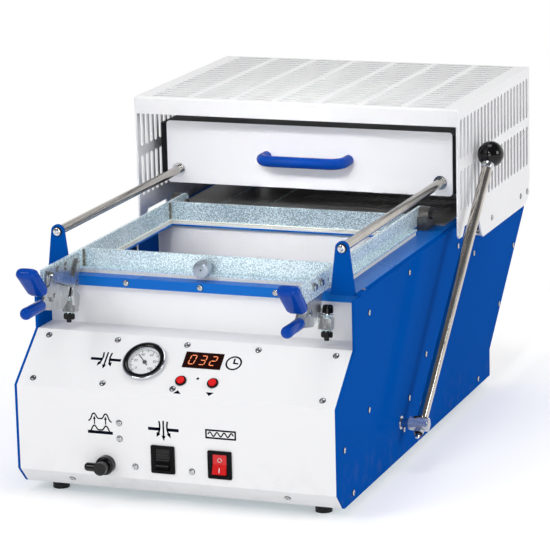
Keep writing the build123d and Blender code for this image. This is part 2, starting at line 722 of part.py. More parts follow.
with BuildPart() as heater_bushes:
    for sign in (-1, 1):
        for y in (
            (HEATER_Y - 1, HEATER_Y + HEATER_BUSH_L),
            (BOX_Y[1] - HEATER_BUSH_L, BOX_Y[1] + 1),
        ):
            bar("Y", y, (sign * ROD_X, ROD_Z), HEATER_BUSH_R - HOLE_GAP)
            bar("Y", y, (sign * ROD_X, ROD_Z), ROD_R + RUN_GAP, Mode.SUBTRACT)
keep(heater_bushes, "heater_bushes")

REFLECTOR_Z = BOX_Z[1] - THIN_T - 12
REFLECTOR_HALF = ROD_X - HEATER_BUSH_R - 4
with BuildPart() as heater_reflector:
    slab((-REFLECTOR_HALF, REFLECTOR_HALF), (BOX_Y[0] + 6, BOX_Y[1] - 6), (REFLECTOR_Z, REFLECTOR_Z + THIN_T))
    for sign in (-1, 1):
        edge = ordered(sign * REFLECTOR_HALF, sign * (REFLECTOR_HALF - THIN_T))
        slab(edge, (BOX_Y[0] + 6, BOX_Y[1] - 6), (REFLECTOR_Z, BOX_Z[1] - THIN_T))
keep(heater_reflector, "heater_reflector")

ELEMENT_PITCH = (BOX_L - 30) / ELEMENT_COUNT
with BuildPart() as heater_elements:
    for index in range(ELEMENT_COUNT):
        y = (BOX_Y[0] + BOX_Y[1]) / 2 + (index - (ELEMENT_COUNT - 1) / 2) * ELEMENT_PITCH
        element_z = REFLECTOR_Z - ELEMENT_DROP + ELEMENT_T
        slab(
            (-ELEMENT_L / 2, ELEMENT_L / 2),
            span_of(y, ELEMENT_W),
            (element_z - ELEMENT_T, element_z),
        )
        for x in (-ELEMENT_L / 3, ELEMENT_L / 3):
            bar("Z", (element_z, REFLECTOR_Z), (x, y), 4)
keep(heater_elements, "heater_elements")

HANDLE_Z = DECK_Z + HANDLE_H
with BuildPart() as heater_handle:
    with BuildLine(Plane.XY.offset(HANDLE_Z)) as handle_path:
        FilletPolyline(
            (-HANDLE_HALF, HEATER_Y),
            (-HANDLE_HALF, HEATER_Y - HANDLE_REACH),
            (HANDLE_HALF, HEATER_Y - HANDLE_REACH),
            (HANDLE_HALF, HEATER_Y),
            radius=HANDLE_BEND,
        )
    with BuildSketch(Plane.XZ.offset(-HEATER_Y)):
        with Locations((-HANDLE_HALF, HANDLE_Z)):
            Circle(HANDLE_R)
    sweep(path=handle_path.line)
keep(heater_handle, "heater_handle")

# --- Clamp frame ------------------------------------------------------------------------------
FRAME_INNER = FRAME_HALF - FRAME_T
FLANGE_HALF = FRAME_HALF + FRAME_FLANGE
FLANGE_Z = (FRAME_Z, FRAME_Z + FRAME_FLANGE_T)
WALL_Z = (FRAME_Z, FRAME_TOP)


def seal_ring(z):
    """Adds a flat ring round the aperture."""
    outer_y = (APERTURE_Y[0] - 1 - SEAL_W, APERTURE_Y[1] + 1 + SEAL_W)
    slab((-APERTURE_HALF - 1 - SEAL_W, APERTURE_HALF + 1 + SEAL_W), outer_y, z)
    inner_y = (APERTURE_Y[0] - 1, APERTURE_Y[1] + 1)
    slab((-APERTURE_HALF - 1, APERTURE_HALF + 1), inner_y, z, Mode.SUBTRACT)


with BuildPart() as lower_seal:
    seal_ring((DECK_Z, SEAL_Z))
keep(lower_seal, "lower_seal")

with BuildPart() as upper_seal:
    seal_ring((SEAL_Z + FREE_GAP, FRAME_Z))
keep(upper_seal, "upper_seal")

with BuildPart() as clamp_frame:
    slab((-FRAME_INNER, FRAME_INNER), (FRONT_BEAM_Y, FRONT_BEAM_Y + FRAME_T), WALL_Z)
    slab((-FRAME_INNER, FRAME_INNER), (REAR_BEAM_Y, REAR_BEAM_Y + FRAME_T), WALL_Z)
    slab((-FLANGE_HALF, FLANGE_HALF), (FRONT_BEAM_Y - FRONT_FLANGE, FRONT_BEAM_Y), FLANGE_Z)
    slab(
        (-FLANGE_HALF, FLANGE_HALF),
        (REAR_BEAM_Y + FRAME_T, REAR_BEAM_Y + FRAME_T + FRONT_FLANGE),
        FLANGE_Z,
    )
    for sign in (-1, 1):
        member_x = ordered(sign * FRAME_INNER, sign * FRAME_HALF)
        slab(member_x, (MEMBER_FRONT_Y, HINGE_Y), WALL_Z)
        bar("X", member_x, (HINGE_Y, HINGE_Z), HINGE_END_R)
        flange_y = (FRONT_BEAM_Y - FRONT_FLANGE, REAR_BEAM_Y + FRAME_T + FRONT_FLANGE)
        slab(ordered(sign * FRAME_HALF, sign * FLANGE_HALF), flange_y, FLANGE_Z)
        bar("X", member_x, (HINGE_Y, HINGE_Z), HINGE_PIN_R + RUN_GAP, Mode.SUBTRACT)
        for y in CLAMP_BOLTS_Y:
            bar("X", member_x, (y, CLAMP_BOLT_Z), CLAMP_PIN_R + HOLE_GAP, Mode.SUBTRACT)
        bar("X", member_x, HOOK_PIVOT, CLAMP_PIN_R + HOLE_GAP, Mode.SUBTRACT)
keep(clamp_frame, "clamp_frame")

KNOB_Z = DECK_Z + 13.0
with BuildPart() as frame_knob:
    knob_back = FRONT_BEAM_Y - KNOB_STEM_L
    bar("Y", (knob_back - KNOB_L, knob_back), (0, KNOB_Z), KNOB_R)
    fillet(edges().filter_by(GeomType.CIRCLE).group_by(Axis.Y)[0], 1.5)
    bar("Y", (knob_back, FRONT_BEAM_Y), (0, KNOB_Z), KNOB_STEM_R)
keep(frame_knob, "frame_knob")

with BuildPart() as hinge_blocks:
    for sign in (-1, 1):
        block_x = ordered(sign * (FRAME_HALF + FREE_GAP), sign * (FRAME_HALF + HINGE_BLOCK_T))
        slab(block_x, (HINGE_Y - 14, HINGE_Y + 14), (DECK_Z, HINGE_Z))
        bar("X", block_x, (HINGE_Y, HINGE_Z), HINGE_END_R)
        bar("X", ordered(sign * (FRAME_INNER - 3), sign * FRAME_HALF), (HINGE_Y, HINGE_Z), HINGE_PIN_R)
        bar(
            "X",
            ordered(sign * FRAME_HALF, sign * (FRAME_HALF + HINGE_BLOCK_T + 3)),
            (HINGE_Y, HINGE_Z),
            HINGE_PIN_R,
        )
keep(hinge_blocks, "hinge_blocks")

# --- Toggle clamps ----------------------------------------------------------------------------
CRANK_PIN = turned((HANDLE_PIVOT[0], HANDLE_PIVOT[1] + CRANK_R), HANDLE_PIVOT, HANDLE_SWING / 2)


def hook_point(y, z):
    """A (Y, Z) point of the closed hook, where it lies with the clamp open."""
    return turned((y, z), HOOK_PIVOT, -HOOK_SWING)


HOOK_PIN = hook_point(HOOK_PIVOT[0] + HOOK_PIN_DROP[0], HOOK_PIVOT[1] + HOOK_PIN_DROP[1])
CAP_CLOSED_Z = LIP_Z - FREE_GAP - CAP_R * math.sin(math.radians(SPINDLE_LEAN))
SPINDLE_TOP = hook_point(SPINDLE_Y, CAP_CLOSED_Z)
REST_LEAN = math.radians(SPINDLE_LEAN - HOOK_SWING)
SPINDLE_DIR = (0, -math.sin(REST_LEAN), math.cos(REST_LEAN))


def spindle_plane(sign, drop):
    """The plane across a spindle, a given distance below the top of its cap."""
    origin = (
        sign * SPINDLE_X,
        SPINDLE_TOP[0] - drop * SPINDLE_DIR[1],
        SPINDLE_TOP[1] - drop * SPINDLE_DIR[2],
    )
    return Plane(origin=origin, x_dir=(1, 0, 0), z_dir=SPINDLE_DIR)


def layer(sign, inner, thickness):
    """The X span of a clamp plate on one side of the frame."""
    return ordered(sign * inner, sign * (inner + thickness))


BODY_OUTLINE = (
    (2.0, DECK_Z + 1.0),
    (4.0, DECK_Z + 23.0),
    (88.0, DECK_Z + 23.0),
    (88.0, DECK_Z + 7.0),
    (76.0, DECK_Z + 2.5),
    (64.0, DECK_Z - 1.0),
    (52.0, DECK_Z - 21.0),
    (40.0, DECK_Z - 27.0),
    (12.0, DECK_Z - 21.0),
    (-8.0, FIXED_GRIP_Z - 4),
    (-8.0, FIXED_GRIP_Z + 4),
)
with BuildPart() as clamp_bodies:
    for sign in (-1, 1):
        side_plate(BODY_OUTLINE, layer(sign, BODY_X, CLAMP_PLATE_T))
        bar("Y", (FRONT_REACH, -4.0), (sign * GRIP_X, FIXED_GRIP_Z), FIXED_GRIP_R)
        for pivot in (HANDLE_PIVOT, HOOK_PIVOT):
            bar("X", layer(sign, ARM_LAYER_X - 1, FRAME_HALF - ARM_LAYER_X + 1), pivot, CLAMP_PIN_R)
        head_x = layer(sign, FRAME_HALF - FRAME_T, CLAMP_HEAD_H)
        bar("X", head_x, HANDLE_PIVOT, CLAMP_HEAD_R)
        for y in CLAMP_BOLTS_Y:
            bolt_x = layer(sign, BODY_X - CLAMP_HEAD_H + 0.5, FRAME_HALF - BODY_X + CLAMP_HEAD_H - 0.5)
            bar("X", bolt_x, (y, CLAMP_BOLT_Z), CLAMP_PIN_R)
            inner_head_x = layer(sign, BODY_X - CLAMP_HEAD_H + 0.5, CLAMP_HEAD_H - 0.5)
            bar("X", inner_head_x, (y, CLAMP_BOLT_Z), CLAMP_HEAD_R)
            outer_head_x = layer(sign, FRAME_HALF, CLAMP_HEAD_H)
            bar("X", outer_head_x, (y, CLAMP_BOLT_Z), CLAMP_HEAD_R)
keep(clamp_bodies, "clamp_bodies")

GRIP_DIR = (0, math.cos(math.radians(GRIP_SLANT)), math.sin(math.radians(GRIP_SLANT)))
HANDLE_OUTLINE = (
    (HANDLE_PIVOT[0] + 6.5, HANDLE_PIVOT[1]),
    (CRANK_PIN[0] + 5.0, CRANK_PIN[1]),
    (CRANK_PIN[0] - 5.0, CRANK_PIN[1]),
    (CRANK_PIN[0] - 7.0, HANDLE_PIVOT[1] + 13),
    (GRIP_START[0] - 2.0, GRIP_START[1] + 4),
    (GRIP_START[0] - 5.0, GRIP_START[1] - 2),
    (HANDLE_PIVOT[0] - 6.5, HANDLE_PIVOT[1]),
)
HOOK_OUTLINE = (
    (HOOK_PIVOT[0] - HOOK_EYE_R, HOOK_PIVOT[1]),
    (69.5, DECK_Z - 5.0),
    (71.0, DECK_Z - 21.0),
    (77.0, DECK_Z - 31.0),
    (89.0, DECK_Z - 31.0),
    (89.0, DECK_Z - 20.0),
    (HOOK_BACK_Y, DECK_Z - 15.0),
    (HOOK_BACK_Y, DECK_Z + 3.0),
    (HOOK_PIVOT[0] + HOOK_EYE_R, HOOK_PIVOT[1]),
)
for side, sign in MIRROR_SIDES:
    arm_x = layer(sign, ARM_LAYER_X, CLAMP_PLATE_T)
    link_x = layer(sign, LINK_LAYER_X, CLAMP_LINK_T)
    pin_x = layer(sign, LINK_LAYER_X - 0.5, CLAMP_PLATE_T + CLAMP_LINK_T + 0.5)
    with BuildPart() as clamp_handle:
        side_plate(HANDLE_OUTLINE, arm_x)
        bar("X", arm_x, HANDLE_PIVOT, 6.5)
        bar("X", arm_x, CRANK_PIN, 5.0)
        grip_plane = Plane(
            origin=(sign * GRIP_X, GRIP_START[0], GRIP_START[1]),
            x_dir=(1, 0, 0),
            z_dir=GRIP_DIR,
        )
        with BuildSketch(grip_plane):
            SlotOverall(GRIP_W, GRIP_T)
        extrude(amount=GRIP_L)
        bar("X", arm_x, HANDLE_PIVOT, CLAMP_PIN_R + RUN_GAP, Mode.SUBTRACT)
        bar("X", pin_x, CRANK_PIN, CLAMP_PIN_R)
    keep(clamp_handle, f"clamp_handle_{side}")

    with BuildPart() as clamp_link:
        link_dir = (0, HOOK_PIN[0] - CRANK_PIN[0], HOOK_PIN[1] - CRANK_PIN[1])
        link_plane = Plane(
            origin=(link_x[0], (CRANK_PIN[0] + HOOK_PIN[0]) / 2, (CRANK_PIN[1] + HOOK_PIN[1]) / 2),
            x_dir=link_dir,
            z_dir=(1, 0, 0),
        )
        with BuildSketch(link_plane):
            SlotCenterToCenter(math.dist(CRANK_PIN, HOOK_PIN), LINK_W)
        extrude(amount=CLAMP_LINK_T)
        bar("X", link_x, CRANK_PIN, CLAMP_PIN_R + RUN_GAP, Mode.SUBTRACT)
        bar("X", link_x, HOOK_PIN, CLAMP_PIN_R + OPEN_PIVOT_GAP, Mode.SUBTRACT)
    keep(clamp_link, f"clamp_link_{side}")

    with BuildPart() as clamp_hook:
        side_plate([hook_point(*point) for point in HOOK_OUTLINE], arm_x)
        bar("X", arm_x, HOOK_PIVOT, HOOK_EYE_R)
        with BuildSketch(spindle_plane(sign, EYE_DROP)):
            eye_inner = ARM_LAYER_X + CLAMP_PLATE_T / 2
            eye_outer = SPINDLE_X + EYE_HALF
            with Locations((sign * ((eye_inner + eye_outer) / 2 - SPINDLE_X), 0)):
                Rectangle(eye_outer - eye_inner, 2 * EYE_HALF)
        extrude(amount=-EYE_L)
        bar("X", arm_x, HOOK_PIVOT, CLAMP_PIN_R + RUN_GAP, Mode.SUBTRACT)
        bar("X", pin_x, HOOK_PIN, CLAMP_PIN_R)
        with BuildSketch(spindle_plane(sign, 0)):
            Circle(SPINDLE_R + RUN_GAP)
        extrude(amount=-SPINDLE_L, mode=Mode.SUBTRACT)
    keep(clamp_hook, f"clamp_hook_{side}")

    with BuildPart() as clamp_spindle:
        with BuildSketch(spindle_plane(sign, 0)):
            Circle(CAP_R)
        extrude(amount=-CAP_L)
        fillet(edges().filter_by(GeomType.CIRCLE).group_by(Axis.Z)[-1], 1.2)
        with BuildSketch(spindle_plane(sign, CAP_L)):
            Circle(SPINDLE_R)
        extrude(amount=-(SPINDLE_L - CAP_L))
        for nut_drop in (EYE_DROP - NUT_L, EYE_DROP + EYE_L):
            with BuildSketch(spindle_plane(sign, nut_drop)):
                RegularPolygon(NUT_R, 6)
            extrude(amount=-NUT_L)
        with BuildSketch(spindle_plane(sign, STAR_DROP)):
            Circle(STAR_R)
            with PolarLocations(STAR_R + 1.2, 6):
                Circle(2.0, mode=Mode.SUBTRACT)
        extrude(amount=-STAR_L)
    keep(clamp_spindle, f"clamp_spindle_{side}")

# --- Table, its carriage and guide posts ------------------------------------------------------
with BuildPart() as table_plate:
    slab((-TABLE_HALF, TABLE_HALF), TABLE_Y, (TABLE_UNDER, TABLE_TOP))
    fillet(edges().filter_by(Axis.Z), 6)
    with BuildSketch(Plane.XY.offset(TABLE_TOP)):
        with Locations((0, (TABLE_Y[0] + TABLE_Y[1]) / 2)):
            with GridLocations(TABLE_HOLE_PITCH, TABLE_HOLE_PITCH, 15, 13):
                Circle(TABLE_HOLE_R)
    extrude(amount=-TABLE_T, mode=Mode.SUBTRACT)
keep(table_plate, "table_plate")

CARRIAGE_Z = (TABLE_UNDER - CARRIAGE_DROP - 6, TABLE_UNDER - CARRIAGE_DROP)
ROLLER_Y = (
    LEVER_Y + LIFT_R * math.cos(math.radians(LIFT_START + LEVER_SWING)),
    LEVER_Y + LIFT_R,
)
with BuildPart() as table_yoke:
    slab((-POST_X, POST_X), span_of(POST_Y, 24), CARRIAGE_Z)
    for sign in (-1, 1):
        bush_z = span_of((CARRIAGE_Z[0] + CARRIAGE_Z[1]) / 2, BUSH_L)
        bar("Z", bush_z, (sign * POST_X, POST_Y), POST_R + 4)
        bar("Z", bush_z, (sign * POST_X, POST_Y), POST_R + RUN_GAP, Mode.SUBTRACT)
        yoke_x = ordered(sign * (ARM_X - ROLLER_W + 1), sign * (ARM_X - 2))
        yoke_y = (ROLLER_Y[0] - ROLLER_R - 12, ROLLER_Y[1] + ROLLER_R + 12)
        slab(yoke_x, yoke_y, (SLOT_Z - SLOT_HALF - 7, TABLE_UNDER))
        slot_y = (ROLLER_Y[0] - ROLLER_R - 3, ROLLER_Y[1] + ROLLER_R + 3)
        slab(yoke_x, slot_y, (SLOT_Z - SLOT_HALF, SLOT_Z + SLOT_HALF), Mode.SUBTRACT)
        slab(
            ordered(sign * 60, sign * 72),
            span_of(POST_Y, 24),
            (CARRIAGE_Z[1], TABLE_UNDER),
        )
keep(table_yoke, "table_yoke")

with BuildPart() as table_seal:
    slab(
        (-TABLE_HALF - 4, TABLE_HALF + 4),
        (TABLE_Y[0] - 2.5, TABLE_Y[1] + 2.5),
        (TABLE_UNDER + 2, TABLE_UNDER + 5),
    )
    slab(
        (-TABLE_HALF, TABLE_HALF),
        TABLE_Y,
        (TABLE_UNDER + 2, TABLE_UNDER + 5),
        Mode.SUBTRACT,
    )
keep(table_seal, "table_seal")

with BuildPart() as guide_posts:
    for sign in (-1, 1):
        bar("Z", (BASE_Z + SHEET_T, SIDE_TOP), (sign * POST_X, POST_Y), POST_R)
        bar("Z", (BASE_Z + SHEET_T, BASE_Z + SHEET_T + 5), (sign * POST_X, POST_Y), POST_R + 4)
keep(guide_posts, "guide_posts")

# --- Lever and lift shaft ---------------------------------------------------------------------
SPLAY = math.radians(LEVER_SPLAY)
LEAN = math.radians(LEVER_LEAN)
LEVER_DIR = (math.sin(SPLAY), math.cos(SPLAY) * math.sin(LEAN), math.cos(SPLAY) * math.cos(LEAN))


def lever_plane(distance):
    """The plane across the hand lever, a distance out from the shaft."""
    origin = (
        LEVER_X + distance * LEVER_DIR[0],
        LEVER_Y + distance * LEVER_DIR[1],
        LEVER_Z + distance * LEVER_DIR[2],
    )
    return Plane(origin=origin, x_dir=(1, 0, 0), z_dir=LEVER_DIR)


HUB_X = (HALF + HUB_STAND_OFF, HALF + HUB_STAND_OFF + HUB_L)
STUB_REACH = HUB_R + 6.0
COLLAR_TOP = LEVER_L - BALL_R + BALL_FLAT
with BuildPart() as lever_hub:
    bar("X", HUB_X, (LEVER_Y, LEVER_Z), HUB_R)
    bar("X", (HUB_X[0], HUB_X[1] - 3), (LEVER_Y, LEVER_Z), SHAFT_R, Mode.SUBTRACT)
    with BuildSketch(lever_plane(0)):
        Circle(LEVER_STUB_R + HOLE_GAP)
    extrude(amount=STUB_REACH, both=True, mode=Mode.SUBTRACT)
    with BuildSketch(lever_plane(-HUB_R)):
        RegularPolygon(LEVER_STUB_R + 2.2, 6)
        Circle(LEVER_STUB_R + HOLE_GAP, mode=Mode.SUBTRACT)
    extrude(amount=-3.5)
keep(lever_hub, "lever_hub")

with BuildPart() as lever_rod:
    with BuildSketch(lever_plane(-STUB_REACH)):
        Circle(LEVER_STUB_R)
    extrude(amount=STUB_REACH + HUB_R + 1)
    with BuildSketch(lever_plane(HUB_R + FREE_GAP)):
        Circle(LEVER_ROD_R)
    extrude(amount=COLLAR_TOP - COLLAR_L - HUB_R - FREE_GAP)
    with BuildSketch(lever_plane(COLLAR_TOP - COLLAR_L)):
        Circle(COLLAR_R)
    extrude(amount=COLLAR_L)
keep(lever_rod, "lever_rod")

with BuildPart() as lever_ball:
    with Locations(lever_plane(LEVER_L).origin):
        Sphere(BALL_R)
    with BuildSketch(lever_plane(COLLAR_TOP)):
        Circle(BALL_R)
    extrude(amount=-BALL_R, mode=Mode.SUBTRACT)
keep(lever_ball, "lever_ball")


def arm_point(distance, across):
    """A (Y, Z) point along and across the lift arm at rest."""
    return turned((LEVER_Y + distance, LEVER_Z + across), (LEVER_Y, LEVER_Z), LIFT_START)


with BuildPart() as lift_shaft:
    bar("X", (-INNER, HUB_X[1] - 3), (LEVER_Y, LEVER_Z), SHAFT_R)
    with BuildSketch(lever_plane(0)):
        Circle(LEVER_STUB_R + HOLE_GAP)
    extrude(amount=STUB_REACH, both=True, mode=Mode.SUBTRACT)
    for sign in (-1, 1):
        arm_x = ordered(sign * ARM_X, sign * (ARM_X + ARM_T))
        bar("X", arm_x, (LEVER_Y, LEVER_Z), ARM_R + 3)
        bar("X", arm_x, arm_point(LIFT_R, 0), ARM_R)
        side_plate(
            (arm_point(0, -ARM_R), arm_point(LIFT_R, -ARM_R), arm_point(LIFT_R, ARM_R), arm_point(0, ARM_R)),
            arm_x,
        )
        stub_x = ordered(sign * (ARM_X - ROLLER_W - 0.5), sign * ARM_X)
        bar("X", stub_x, arm_point(LIFT_R, 0), 3)
keep(lift_shaft, "lift_shaft")

with BuildPart() as lift_rollers:
    for sign in (-1, 1):
        roller_x = ordered(sign * (ARM_X - ROLLER_W), sign * (ARM_X - 0.2))
        bar("X", roller_x, arm_point(LIFT_R, 0), ROLLER_R)
        bar("X", roller_x, arm_point(LIFT_R, 0), 3 + RUN_GAP, Mode.SUBTRACT)
keep(lift_rollers, "lift_rollers")

# --- Gauge, timer and buttons on the sloped face ----------------------------------------------
DIAL_Z = GAUGE_RIM_H - DIAL_DEPTH - GLASS_T - 1.5
with BuildPart() as gauge_case:
    with BuildSketch(SLOPE_PLANE):
        with Locations(GAUGE_AT):
            Circle(GAUGE_R)
    extrude(amount=GAUGE_RIM_H)
    fillet(edges().filter_by(GeomType.CIRCLE), 1.2)
    with BuildSketch(SLOPE_PLANE):
        with Locations(GAUGE_AT):
            Circle(GAUGE_BODY_R)
    extrude(amount=-GAUGE_BODY_L)
    with BuildSketch(SLOPE_PLANE.offset(GAUGE_RIM_H)):
        with Locations(GAUGE_AT):
            Circle(GLASS_R)
    extrude(amount=-(GAUGE_RIM_H - DIAL_Z + DIAL_T), mode=Mode.SUBTRACT)
keep(gauge_case, "gauge_case")

with BuildPart() as gauge_dial:
    with BuildSketch(SLOPE_PLANE.offset(DIAL_Z - DIAL_T)):
        with Locations(GAUGE_AT):
            Circle(GLASS_R - HOLE_GAP)
    extrude(amount=DIAL_T)
keep(gauge_dial, "gauge_dial")

with BuildPart() as gauge_needle:
    with BuildSketch(SLOPE_PLANE.offset(DIAL_Z + 0.3)):
        with Locations(GAUGE_AT):
            Circle(2.2)
            with Locations(Location((0, 0), 135)):
                with Locations(((NEEDLE_L - NEEDLE_TAIL) / 2, 0)):
                    Rectangle(NEEDLE_L + NEEDLE_TAIL, 0.9)
    extrude(amount=0.5)
keep(gauge_needle, "gauge_needle")

with BuildPart() as gauge_glass:
    with BuildSketch(SLOPE_PLANE.offset(GAUGE_RIM_H - 1.0 - GLASS_T)):
        with Locations(GAUGE_AT):
            Circle(GLASS_R - HOLE_GAP)
    extrude(amount=GLASS_T)
keep(gauge_glass, "gauge_glass")

with BuildPart() as timer_module:
    with BuildSketch(SLOPE_PLANE.offset(WINDOW_PROUD)):
        with Locations(TIMER_AT):
            Rectangle(*TIMER_SIZE)
    extrude(amount=-TIMER_L)
    slope_axis = Axis((0, 0, 0), tuple(SLOPE_PLANE.z_dir))
    fillet(faces().sort_by(slope_axis)[-1].edges(), WINDOW_PROUD / 2)
keep(timer_module, "timer_module")

with BuildPart() as button_rings:
    with BuildSketch(SLOPE_PLANE.offset(1.6)):
        with Locations(*BUTTONS_AT):
            Circle(BUTTON_RING_R)
            Circle(BUTTON_R + FREE_GAP, mode=Mode.SUBTRACT)
    extrude(amount=-14)
    with BuildSketch(SLOPE_PLANE.offset(-12.4)):
        with Locations(*BUTTONS_AT):
            Circle(BUTTON_RING_R)
    extrude(amount=-3)
keep(button_rings, "button_rings")

for place, side in zip(BUTTONS_AT, ("left", "right")):
    with BuildPart() as timer_button:
        with BuildSketch(SLOPE_PLANE.offset(BUTTON_PROUD)):
            with Locations(place):
                Circle(BUTTON_R)
        extrude(amount=-(BUTTON_PROUD + 12.4 - BUTTON_TRAVEL - FREE_GAP))
    keep(timer_button, f"timer_button_{side}")

# --- Switches and release valve on the front face ---------------------------------------------
with BuildPart() as switch_housings:
    with BuildSketch(FRONT_PLANE):
        with Locations(VACUUM_SWITCH_AT, HEATER_SWITCH_AT):
            RectangleRounded(*SWITCH_SIZE, 1.5)
    extrude(amount=SWITCH_RIM_T)
    with BuildSketch(FRONT_PLANE):
        with Locations(VACUUM_SWITCH_AT, HEATER_SWITCH_AT):
            Rectangle(SWITCH_SIZE[0] - 3.2, SWITCH_SIZE[1] - 3.2)
    extrude(amount=-SWITCH_BODY_L)
    with BuildSketch(FRONT_PLANE.offset(SWITCH_RIM_T)):
        with Locations(VACUUM_SWITCH_AT, HEATER_SWITCH_AT):
            Rectangle(ROCKER_SIZE[0] + 2 * FREE_GAP, ROCKER_SIZE[1] + 1.6)
    extrude(amount=-(SWITCH_RIM_T + 12), mode=Mode.SUBTRACT)
    for place in (VACUUM_SWITCH_AT, HEATER_SWITCH_AT):
        pin_hole_x = span_of(place[0], ROCKER_SIZE[0] + 2 * (FREE_GAP + ROCKER_PIN_L))
        bar("X", pin_hole_x, (ROCKER_PIVOT_DEPTH, BASE_Z + place[1]), ROCKER_PIN_R + RUN_GAP, Mode.SUBTRACT)
keep(switch_housings, "switch_housings")

ROCKER_HALF = ROCKER_SIZE[1] / 2
for place, label in ((VACUUM_SWITCH_AT, "vacuum_rocker"), (HEATER_SWITCH_AT, "heater_rocker")):
    rocker_z = BASE_Z + place[1]
    pivot = (ROCKER_PIVOT_DEPTH, rocker_z)
    with BuildPart() as rocker:
        outline = (
            (-SWITCH_RIM_T - 1.2, rocker_z - ROCKER_HALF),
            (-SWITCH_RIM_T + 0.6, rocker_z),
            (-SWITCH_RIM_T - 1.2, rocker_z + ROCKER_HALF),
            (ROCKER_PIVOT_DEPTH + 2, rocker_z + ROCKER_HALF - 2),
            (ROCKER_PIVOT_DEPTH + 4, rocker_z),
            (ROCKER_PIVOT_DEPTH + 2, rocker_z - ROCKER_HALF + 2),
        )
        tilted = [turned(point, pivot, -ROCKER_TILT) for point in outline]
        side_plate(tilted, span_of(place[0], ROCKER_SIZE[0]))
        bar("X", span_of(place[0], ROCKER_SIZE[0] + 2 * ROCKER_PIN_L), pivot, ROCKER_PIN_R)
    keep(rocker, label)

RELEASE_Z = BASE_Z + RELEASE_AT[1]
with BuildPart() as release_valve:
    bar("Y", (-RELEASE_BASE_L, 0), (RELEASE_AT[0], RELEASE_Z), RELEASE_BASE_R)
    fillet(edges().filter_by(GeomType.CIRCLE).group_by(Axis.Y)[0], 2)
    bar("Y", (0, 26), (RELEASE_AT[0], RELEASE_Z), RELEASE_BASE_R - 3 - HOLE_GAP)
    stem_y = (-RELEASE_BASE_L, -RELEASE_BASE_L + 6)
    bar("Y", stem_y, (RELEASE_AT[0], RELEASE_Z), RELEASE_STEM_R + RUN_GAP, Mode.SUBTRACT)
keep(release_valve, "release_valve")

with BuildPart() as release_lever:
    arm_y = -RELEASE_BASE_L - FREE_GAP - RELEASE_ARM_R
    bar("X", (RELEASE_AT[0] - RELEASE_REACH, RELEASE_AT[0]), (arm_y, RELEASE_Z), RELEASE_ARM_R)
    fillet(edges().filter_by(GeomType.CIRCLE).group_by(Axis.X)[0], RELEASE_ARM_R * 0.8)
    hub_y = (arm_y - RELEASE_ARM_R - 1, -RELEASE_BASE_L - FREE_GAP)
    bar("Y", hub_y, (RELEASE_AT[0], RELEASE_Z), RELEASE_HUB_R)
    bar("Y", (hub_y[1], hub_y[1] + 5.5), (RELEASE_AT[0], RELEASE_Z), RELEASE_STEM_R)
keep(release_lever, "release_lever")

# --- Screws -----------------------------------------------------------------------------------
def screws_on(plane, places, length=SCREW_L):
    """Adds pan-head screws whose heads sit on a plane."""
    with BuildSketch(plane) as heads:
        with Locations(*places):
            Circle(HEAD_R)
    extrude(heads.sketch, amount=HEAD_H)
    with BuildSketch(plane) as shanks:
        with Locations(*places):
            Circle(SCREW_R)
    extrude(shanks.sketch, amount=-length)


with BuildPart() as case_screws:
    screws_on(SLOPE_PLANE, SLOPE_SCREWS)
    screws_on(FRONT_PLANE, FRONT_SCREWS)
    screws_on(CHAMFER_PLANE, [(x, CHAMFER_L / 2) for x in CHAMFER_SCREWS])
    lip_plane = Plane(origin=(0, LIP_Y, 0), x_dir=(1, 0, 0), z_dir=(0, -1, 0))
    screws_on(lip_plane, [(x, (LIP_Z + DECK_Z) / 2) for x in LIP_SCREWS], SHEET_T + 1)
    for sign in (-1, 1):
        side_plane = Plane(origin=(sign * HALF, 0, BASE_Z), x_dir=(0, sign, 0), z_dir=(sign, 0, 0))
        screws_on(side_plane, [(sign * y, height) for y, height in SIDE_SCREWS])
        hood_plane = Plane(origin=(sign * HOOD_HALF, 0, DECK_Z), x_dir=(0, sign, 0), z_dir=(sign, 0, 0))
        hood_places = [(sign * y, height) for y, height in HOOD_SCREWS]
        screws_on(hood_plane, hood_places, HOOD_HALF - INNER + 1)
    bracket_plane = Plane(origin=(0, BRACKET_Y, 0), x_dir=(1, 0, 0), z_dir=(0, -1, 0))
    rear_plane = Plane(origin=(0, REAR_BRACKET_Y, 0), x_dir=(-1, 0, 0), z_dir=(0, 1, 0))
    for plane in (bracket_plane, rear_plane):
        with BuildSketch(plane):
            with Locations((-ROD_X, ROD_Z), (ROD_X, ROD_Z)):
                Circle(ROD_SCREW_R * 1.9)
        extrude(amount=2.5)
        with BuildSketch(plane):
            with Locations((-ROD_X, ROD_Z), (ROD_X, ROD_Z)):
                Circle(ROD_SCREW_R)
        extrude(amount=-(BRACKET_T + ROD_SCREW_L - 1))
keep(case_screws, "case_screws")

# --- Inside the body --------------------------------------------------------------------------
PUMP_Z = BASE_Z + SHEET_T + PUMP_BED + PUMP_R
with BuildPart() as vacuum_pump:
    bar("X", span_of(0, PUMP_L), (PUMP_Y, PUMP_Z), PUMP_R)
    slab(span_of(0, PUMP_L * 0.8), span_of(PUMP_Y, 60), (BASE_Z + SHEET_T, PUMP_Z))
    slab((-PUMP_L / 2 - 40, -PUMP_L / 2), span_of(PUMP_Y, 60), (BASE_Z + SHEET_T, PUMP_Z + 36))
keep(vacuum_pump, "vacuum_pump")

